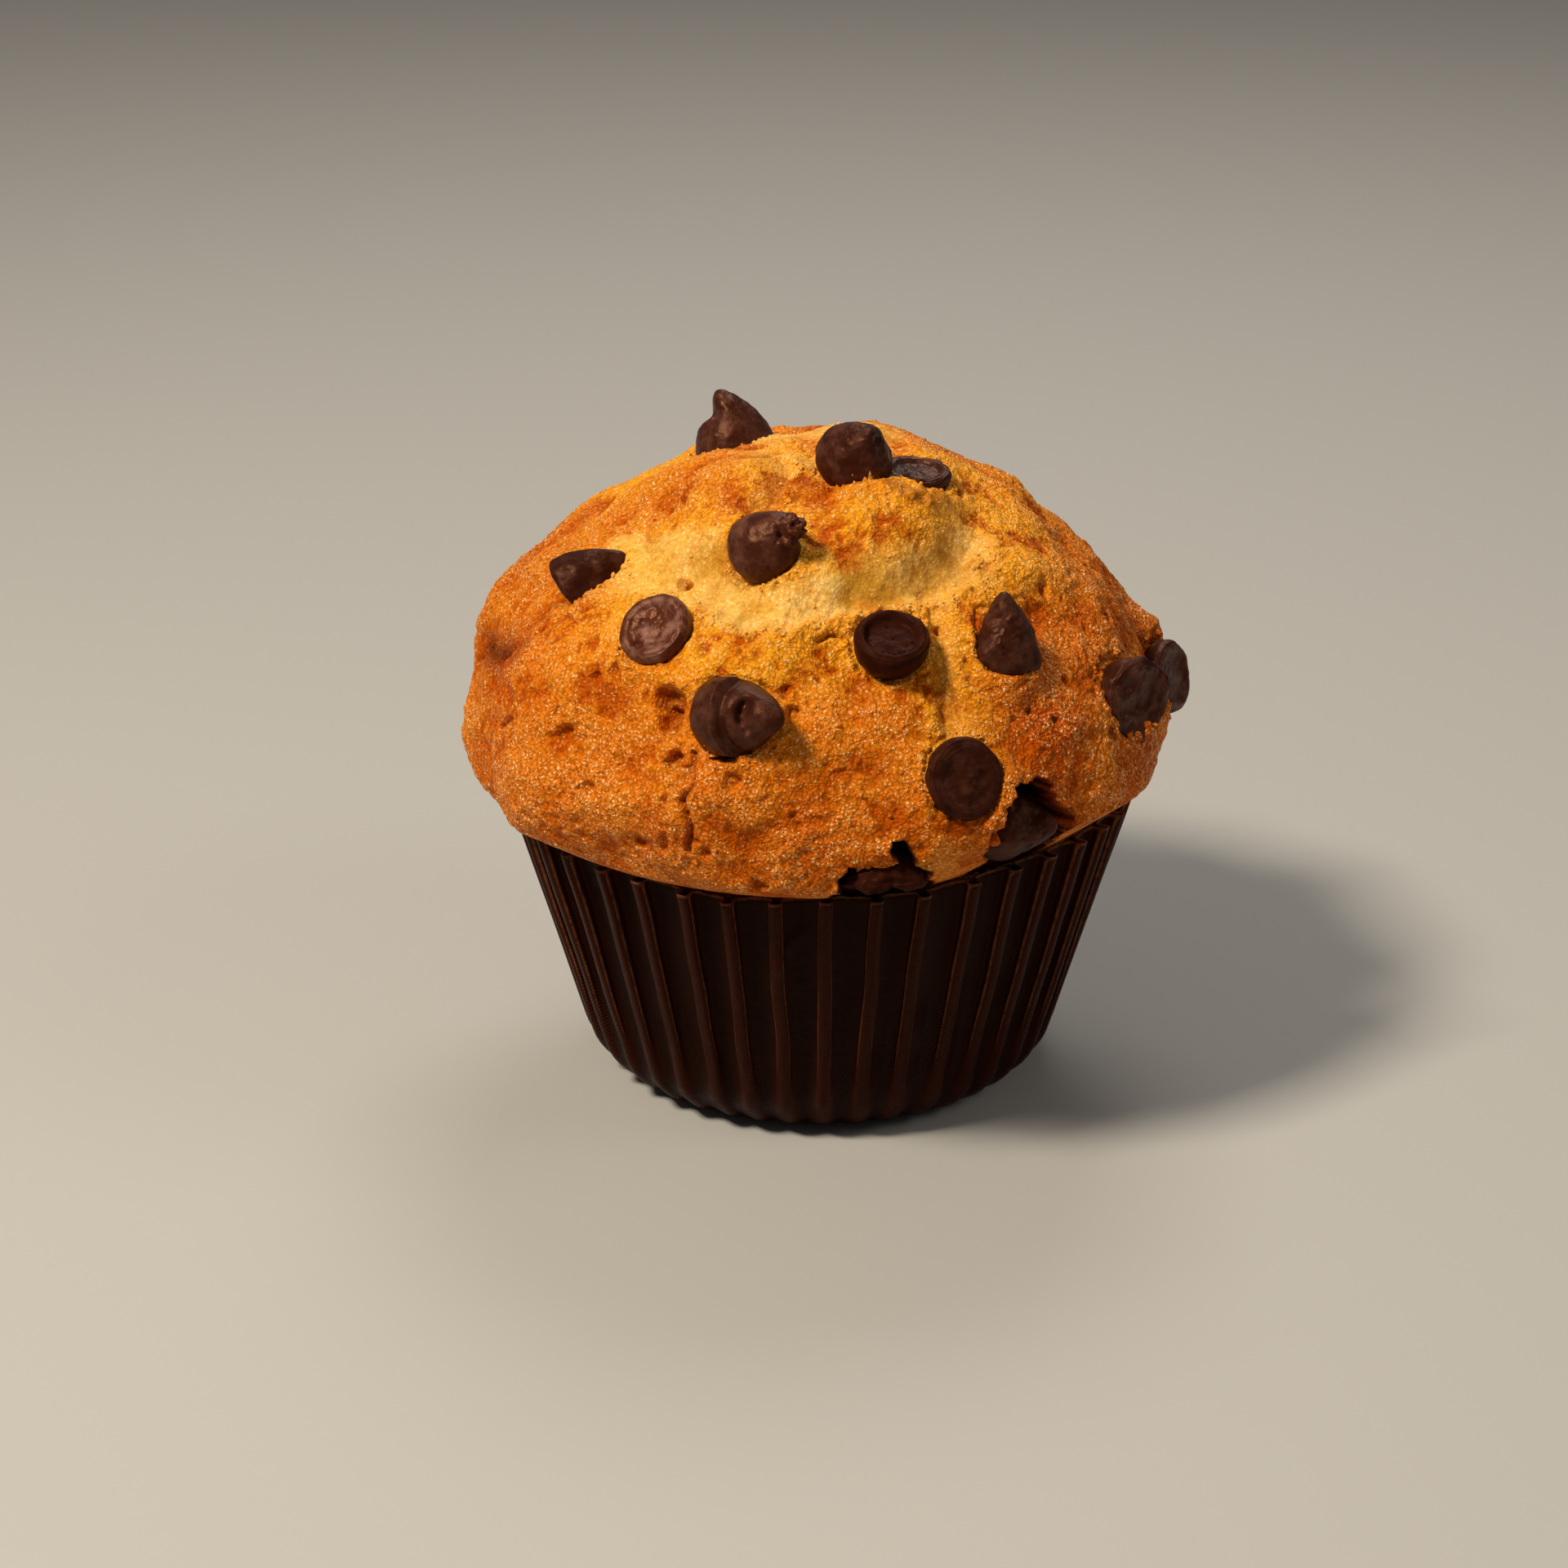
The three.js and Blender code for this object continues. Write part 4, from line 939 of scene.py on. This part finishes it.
wet = add(cake, "ShaderNodeMath", {0: sugar_and_glints.outputs[0], 1: 0.8, 2: 0.12}, operation="MULTIPLY_ADD")
not_darkened = add(cake, "ShaderNodeMath", {0: 1.0, 1: scorch_and_shade_share.outputs["Fac"]}, operation="SUBTRACT")
gloss = add(cake, "ShaderNodeMath", {0: wet.outputs[0], 1: not_darkened.outputs[0]}, operation="MULTIPLY")
smooth_bead = add(cake, "ShaderNodeMath", {0: sugar_and_glints.outputs[0], 1: -0.35, 2: 0.6}, operation="MULTIPLY_ADD")
shader = add(cake, "ShaderNodeBsdfPrincipled", {
    "Base Color": darkened.outputs[2], "Roughness": smooth_bead.outputs[0], "Normal": bump.outputs[0], "IOR": 1.45,
    "Subsurface Weight": 0.2, "Subsurface Radius": (1.0, 0.45, 0.12), "Subsurface Scale": 0.8 * MM,
    "Specular IOR Level": gloss.outputs[0], "Specular Tint": linear(CRUST_SHEEN)})
cake.node_tree.links.new(shader.outputs[0], output.inputs[0])

# The four sheets: the cap of the crown, its front, its back, and the cake in the cup.
traits = {"pale": pale, "red": red, "scorch_and_shade": scorch_and_shade, "high": high, "gold": gold}
for name, values in traits.items():
    layer = bm.verts.layers.float.new(name)
    for vert, value in zip(bm.verts, values):
        vert[layer] = value
upright = bm.verts.layers.float_vector.new("upright")
for vert in bm.verts:
    vert[upright] = vert.normal
row_of = rows.round().astype(int)


def sheet_of(face):
    """The sheet that a face belongs to, by the lowest row it touches and its side."""
    lowest = max(row_of[v.index] for v in face.verts)
    if lowest == 0:
        return "crown_cap"
    if lowest > TOP_CELLS // 2 + UNDER_ROWS:
        return "cake_in_cup"
    return "crown_front" if face.calc_center_median().y < 0 else "crown_back"


bm.verts.index_update()
sheets = [sheet_of(face) for face in bm.faces]
for name in ("crown_cap", "crown_front", "crown_back", "cake_in_cup"):
    part = bm.copy()
    part.faces.ensure_lookup_table()
    bmesh.ops.delete(part, geom=[f for f, own in zip(part.faces, sheets) if own != name], context="FACES")
    piece = finish_piece(name, part, cake)
    normals = np.empty(3 * len(piece.data.vertices), dtype=np.float32)
    piece.data.attributes["upright"].data.foreach_get("vector", normals)
    piece.data.attributes.remove(piece.data.attributes["upright"])
    piece.data.normals_split_custom_set_from_vertices(normals.reshape(-1, 3).tolist())
    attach(piece, "root")
    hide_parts("crumb")
bm.free()


# ---- Crust grains ----
# Loose grains of crust and sugar that the batter spat out as it tore: they cling to the broken
# edges and round the chips, and lie scattered over the whole crown. Each is a rough little ball
# of about a third of a millimetre, half sunk in the crust.
GRAIN_COUNT = 1800
GRAIN_RADIUS = (0.12, 0.26)
GRAIN_SEED = 11

rng = np.random.default_rng(GRAIN_SEED)
standing = (fade > 0.99) & (body[:, 2] > CUP_HEIGHT + 4) & (near_chip > 0.05)
chance = standing * (0.02 + 1.0 * broken_edge + 0.7 * np.exp(-((near_chip - 0.6) / 0.4) ** 2)
                     + 0.1 * np.clip(high - 0.5, 0, 1)) * (1 - scorch_and_shade) * (1 - cave)
spots = rng.choice(len(body), GRAIN_COUNT, replace=False, p=chance / chance.sum())
size = rng.uniform(*GRAIN_RADIUS, GRAIN_COUNT) * (0.8 + 0.5 * rng.random(GRAIN_COUNT) ** 3)
seed_ball = bmesh.new()
bmesh.ops.create_icosphere(seed_ball, subdivisions=1, radius=1)
ball = np.array([v.co[:] for v in seed_ball.verts])
seed_mesh = bpy.data.meshes.new("grain")
seed_ball.to_mesh(seed_mesh)
seed_ball.free()
bm = bmesh.new()
for _ in range(GRAIN_COUNT):
    bm.from_mesh(seed_mesh)
bpy.data.meshes.remove(seed_mesh)
stretch = rng.uniform(0.7, 1.3, (GRAIN_COUNT, 1, 3))
dents = rng.uniform(0.85, 1.15, (GRAIN_COUNT, len(ball), 1))
grains = (body[spots] - 0.1 * size[:, None] * out[spots])[:, None] + ball * dents * stretch * size[:, None, None]
for vert, p in zip(bm.verts, grains.reshape(-1, 3)):
    vert.co = p
piece = finish_piece("crust_grains", bm, cake)
for name, values in traits.items():
    own = 1.0 if name == "high" else values[spots]
    piece.data.attributes.new(name, "FLOAT", "POINT").data.foreach_set(
        "value", np.repeat(own * np.ones(GRAIN_COUNT), len(ball)).astype(np.float32))
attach(piece, "root")
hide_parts("crumb")


# ---- Chocolate chips ----
# Dark chocolate, poured as drops on a cold belt: a flat round face where it lay, a rounded foot,
# and a tip that curled as the nozzle left it. In the oven it went soft and set again, so the
# skin is satin with shallow dents, a little pale bloom, and here and there a bead of cocoa butter.
# The pale, warm tone is partly painted sheen: chips that face the light are painted paler and
# warmer, and those that face away darker.
CHIP_STEPS = 96
CHIP_ROWS = 12
DROP_RADIUS = 0.1
USUAL_BLOOM_AND_LIGHT = 0.35
USUAL_DISH = 0.15
MELT_HEIGHT = 0.42
CHOCOLATE_COLOUR = "#220b06"
# The warm and pale colours are partly painted light on the chips that face the light.
CHOCOLATE_WARM_AND_LIT = "#4e2416"
BLOOM_AND_SHEEN_COLOUR = "#94695a"
CHOCOLATE_SHEEN = "#dc9e76"
SMEAR = 2.2
FINE = 0.35

chocolate, output = new_material("dark_chocolate")
bloom_and_light = add(chocolate, "ShaderNodeAttribute", {}, attribute_name="bloom_and_light")
where = add(chocolate, "ShaderNodeTexCoord", {})
smear = add(chocolate, "ShaderNodeTexNoise", {"Vector": where.outputs["Object"], "Scale": 1 / (SMEAR * MM),
                                               "Detail": 5.0, "Roughness": 0.65})
fine = add(chocolate, "ShaderNodeTexNoise", {"Vector": where.outputs["Object"], "Scale": 1 / (FINE * MM),
                                              "Detail": 3.0})
smeared = add(chocolate, "ShaderNodeMapRange", {"Value": smear.outputs["Fac"], "From Min": 0.3, "From Max": 0.7,
                                                 "To Max": 0.45})
# Painted light: chips that face the light are mixed towards the warm and pale colours, those that face away stay
# dark.
warm_lit_share = add(chocolate, "ShaderNodeMath", {0: bloom_and_light.outputs["Fac"], 1: 0.75, 2: smeared.outputs[0]},
                 operation="MULTIPLY_ADD")
skin_tone = add(chocolate, "ShaderNodeMix", {0: warm_lit_share.outputs[0], 6: linear(CHOCOLATE_COLOUR),
                                             7: linear(CHOCOLATE_WARM_AND_LIT)}, data_type="RGBA")
smear_share = add(chocolate, "ShaderNodeMapRange", {"Value": smear.outputs["Fac"], "From Min": 0.46,
                                                     "From Max": 0.85})
bloom_and_sheen_share = add(chocolate, "ShaderNodeMath", {0: smear_share.outputs[0], 1: bloom_and_light.outputs["Fac"]},
                  operation="MULTIPLY", use_clamp=True)
colour = add(chocolate, "ShaderNodeMix", {0: bloom_and_sheen_share.outputs[0], 6: skin_tone.outputs[2],
                                          7: linear(BLOOM_AND_SHEEN_COLOUR)}, data_type="RGBA")
rough = add(chocolate, "ShaderNodeMapRange", {"Value": smear.outputs["Fac"], "From Min": 0.3, "From Max": 0.7,
                                               "To Min": 0.3, "To Max": 0.5})
sheen = add(chocolate, "ShaderNodeMapRange", {"Value": bloom_and_light.outputs["Fac"], "From Max": 0.5, "To Min": 0.05,
                                               "To Max": 0.45})
surface = add(chocolate, "ShaderNodeMath", {0: smear.outputs["Fac"], 1: 2.0, 2: fine.outputs["Fac"]},
              operation="MULTIPLY_ADD")
bump = add(chocolate, "ShaderNodeBump", {"Height": surface.outputs[0], "Strength": 0.5, "Distance": 0.1 * MM})
shader = add(chocolate, "ShaderNodeBsdfPrincipled", {
    "Base Color": colour.outputs[2], "Roughness": rough.outputs[0], "Normal": bump.outputs[0], "IOR": 1.5,
    "Specular IOR Level": sheen.outputs[0], "Specular Tint": linear(CHOCOLATE_SHEEN)})
chocolate.node_tree.links.new(shader.outputs[0], output.inputs[0])


def marks_gap(points, right, rise, reach, size):
    """How far points lie from a place on the side that faces the front, in parts of a mark's reach."""
    return np.linalg.norm(points @ FRONT_PLANE - np.array((right, rise)) * size, axis=1) / (reach * size)


for number, chip in enumerate(CHIPS, 1):
    half, tall = chip["size"] / 2, chip["height"]
    marks = [Vector((r, 0, z)) for r, z in chip["outline"]]
    ends = [marks[0] * 2 - marks[1]] + marks + [Vector((-marks[-2].x, 0, marks[-2].z))]
    bm = bmesh.new()
    line = [bm.verts.new(marks[0])]
    for i in range(1, len(marks)):
        for step in range(1, CHIP_ROWS + 1):
            t = step / CHIP_ROWS
            a, b, c, d = ends[i - 1:i + 3]
            spot = 0.5 * ((2 * b) + (c - a) * t + (2 * a - 5 * b + 4 * c - d) * t * t
                          + (3 * b - a - 3 * c + d) * t ** 3)
            line.append(bm.verts.new((max(spot.x, 0), 0, spot.z)))
    edges = [bm.edges.new(pair) for pair in zip(line, line[1:])]
    bmesh.ops.spin(bm, geom=line + edges, axis=(0, 0, 1), cent=(0, 0, 0), angle=2 * pi, steps=CHIP_STEPS,
                   use_merge=True)
    bmesh.ops.remove_doubles(bm, verts=bm.verts, dist=0.004)
    bmesh.ops.recalc_face_normals(bm, faces=bm.faces)
    spots = np.array([v.co[:] for v in bm.verts])
    faces = np.array([v.normal[:] for v in bm.verts])
    r = np.hypot(spots[:, 0], spots[:, 1]) / half
    part = spots[:, 2] / tall
    seed = number * 11.3
    # The flat face: sunk in the middle, with the thin raised lines that the cooling skin left.
    on_face = part < 0.1
    flat_face = (1 - smoothstep(part, 0.0, 0.12)) * (1 - smoothstep(r, 0.8, 0.95))
    dish = chip.get("dish", USUAL_DISH)
    uneven = 0.6 + 0.8 * fluff(spots * (1, 1, 0) + seed, 2.5)
    thin_lines = np.exp(-((r - 0.72) / 0.025) ** 2) + 0.7 * np.exp(-((r - 0.84) / 0.02) ** 2)
    spots[:, 2] += on_face * (dish * (1 - smoothstep(r, 0.58, 0.78))
                              - 0.35 * dish * np.exp(-((r - 0.8) / 0.07) ** 2) - 0.1 * uneven * thin_lines)
    if "ledge" in chip:
        past = part - chip["ledge"]
        seen = (spots - (0, 0, CHIP_MIDDLE * tall)) @ np.array(chip["turn"]).T @ np.array(FRONT_RIGHT)
        facing = faces @ np.array(chip["turn"]).T @ np.array(FRONT)
        left = (1 - smoothstep(seen, 0, 0.6 * half)) * smoothstep(facing, 0.1, 0.6)
        step_out = (0.5 * (1 - smoothstep(past, -0.008, 0.008)) * smoothstep(part, 0.05, 0.3)
                    + 0.2 * np.exp(-((past + 0.02) / 0.022) ** 2) - 0.4 * np.exp(-((past - 0.05) / 0.04) ** 2))
        spots += faces * left[:, None] * step_out[:, None]
    soft = fluff(spots + seed, 3.4, 3)
    spots += faces * (chip["melt"] * MELT_HEIGHT * soft + 0.03 * fluff(spots + 2 * seed, 0.8, 2))[:, None]
    spots += np.array(chip["curl"]) * np.clip(part, 0, 1)[:, None] ** 3
    spots[:, 2] -= CHIP_MIDDLE * tall
    spots = spots @ np.array(chip["turn"]).T
    faces = faces @ np.array(chip["turn"]).T
    to_front = smoothstep(faces @ np.array(FRONT), -0.3, 0.3)
    blooming_and_light = chip.get("bloom_and_light", USUAL_BLOOM_AND_LIGHT) * (0.5 + 0.5 * flat_face)
    for right, rise, reach, sink in chip.get("press", []):
        gap = marks_gap(spots, right, rise, reach, chip["size"])
        spots -= np.array(FRONT) * (sink * chip["size"] * np.exp(-gap ** 2) * to_front)[:, None]
    for right, rise, reach, sink in chip.get("dent", []):
        gap = marks_gap(spots, right, rise, reach, chip["size"])
        spots -= faces * (sink * chip["size"] * np.exp(-gap ** 2))[:, None]
    for right, rise, reach, amount in chip.get("rough", []):
        gap = marks_gap(spots, right, rise, reach, chip["size"])
        share = np.exp(-gap ** 4) * to_front
        wrinkle = fluff(spots + 3 * seed, 0.75, 2) + 0.5 * np.abs(fluff(spots + seed, 0.5))
        spots += faces * (amount * wrinkle * share)[:, None]
        blooming_and_light = np.maximum(blooming_and_light, share * min(chip.get("bloom_and_light", USUAL_BLOOM_AND_LIGHT), 1.6 * amount))
    spots += np.array(chip["centre"])
    for vert, p in zip(bm.verts, spots):
        vert.co = p
    layer = bm.verts.layers.float.new("bloom_and_light")
    for vert, value in zip(bm.verts, blooming_and_light):
        vert[layer] = value
    # The beads of cocoa butter sit where the skin is nearest to the front.
    for right, rise in chip.get("drops", []):
        aside = (spots - np.array(chip["centre"])) @ FRONT_PLANE - (right, rise)
        over = np.where(np.hypot(*aside.T) < 0.25, spots @ np.array(FRONT), -99).argmax()
        bmesh.ops.create_icosphere(bm, subdivisions=1, radius=DROP_RADIUS,
                                   matrix=Matrix.Translation(spots[over] + 0.03 * faces[over]))
    piece = finish_piece(f"chocolate_chip_{number:02d}", bm, chocolate)
    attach(piece, "root")
    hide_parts(f"chip_{number:02d}")
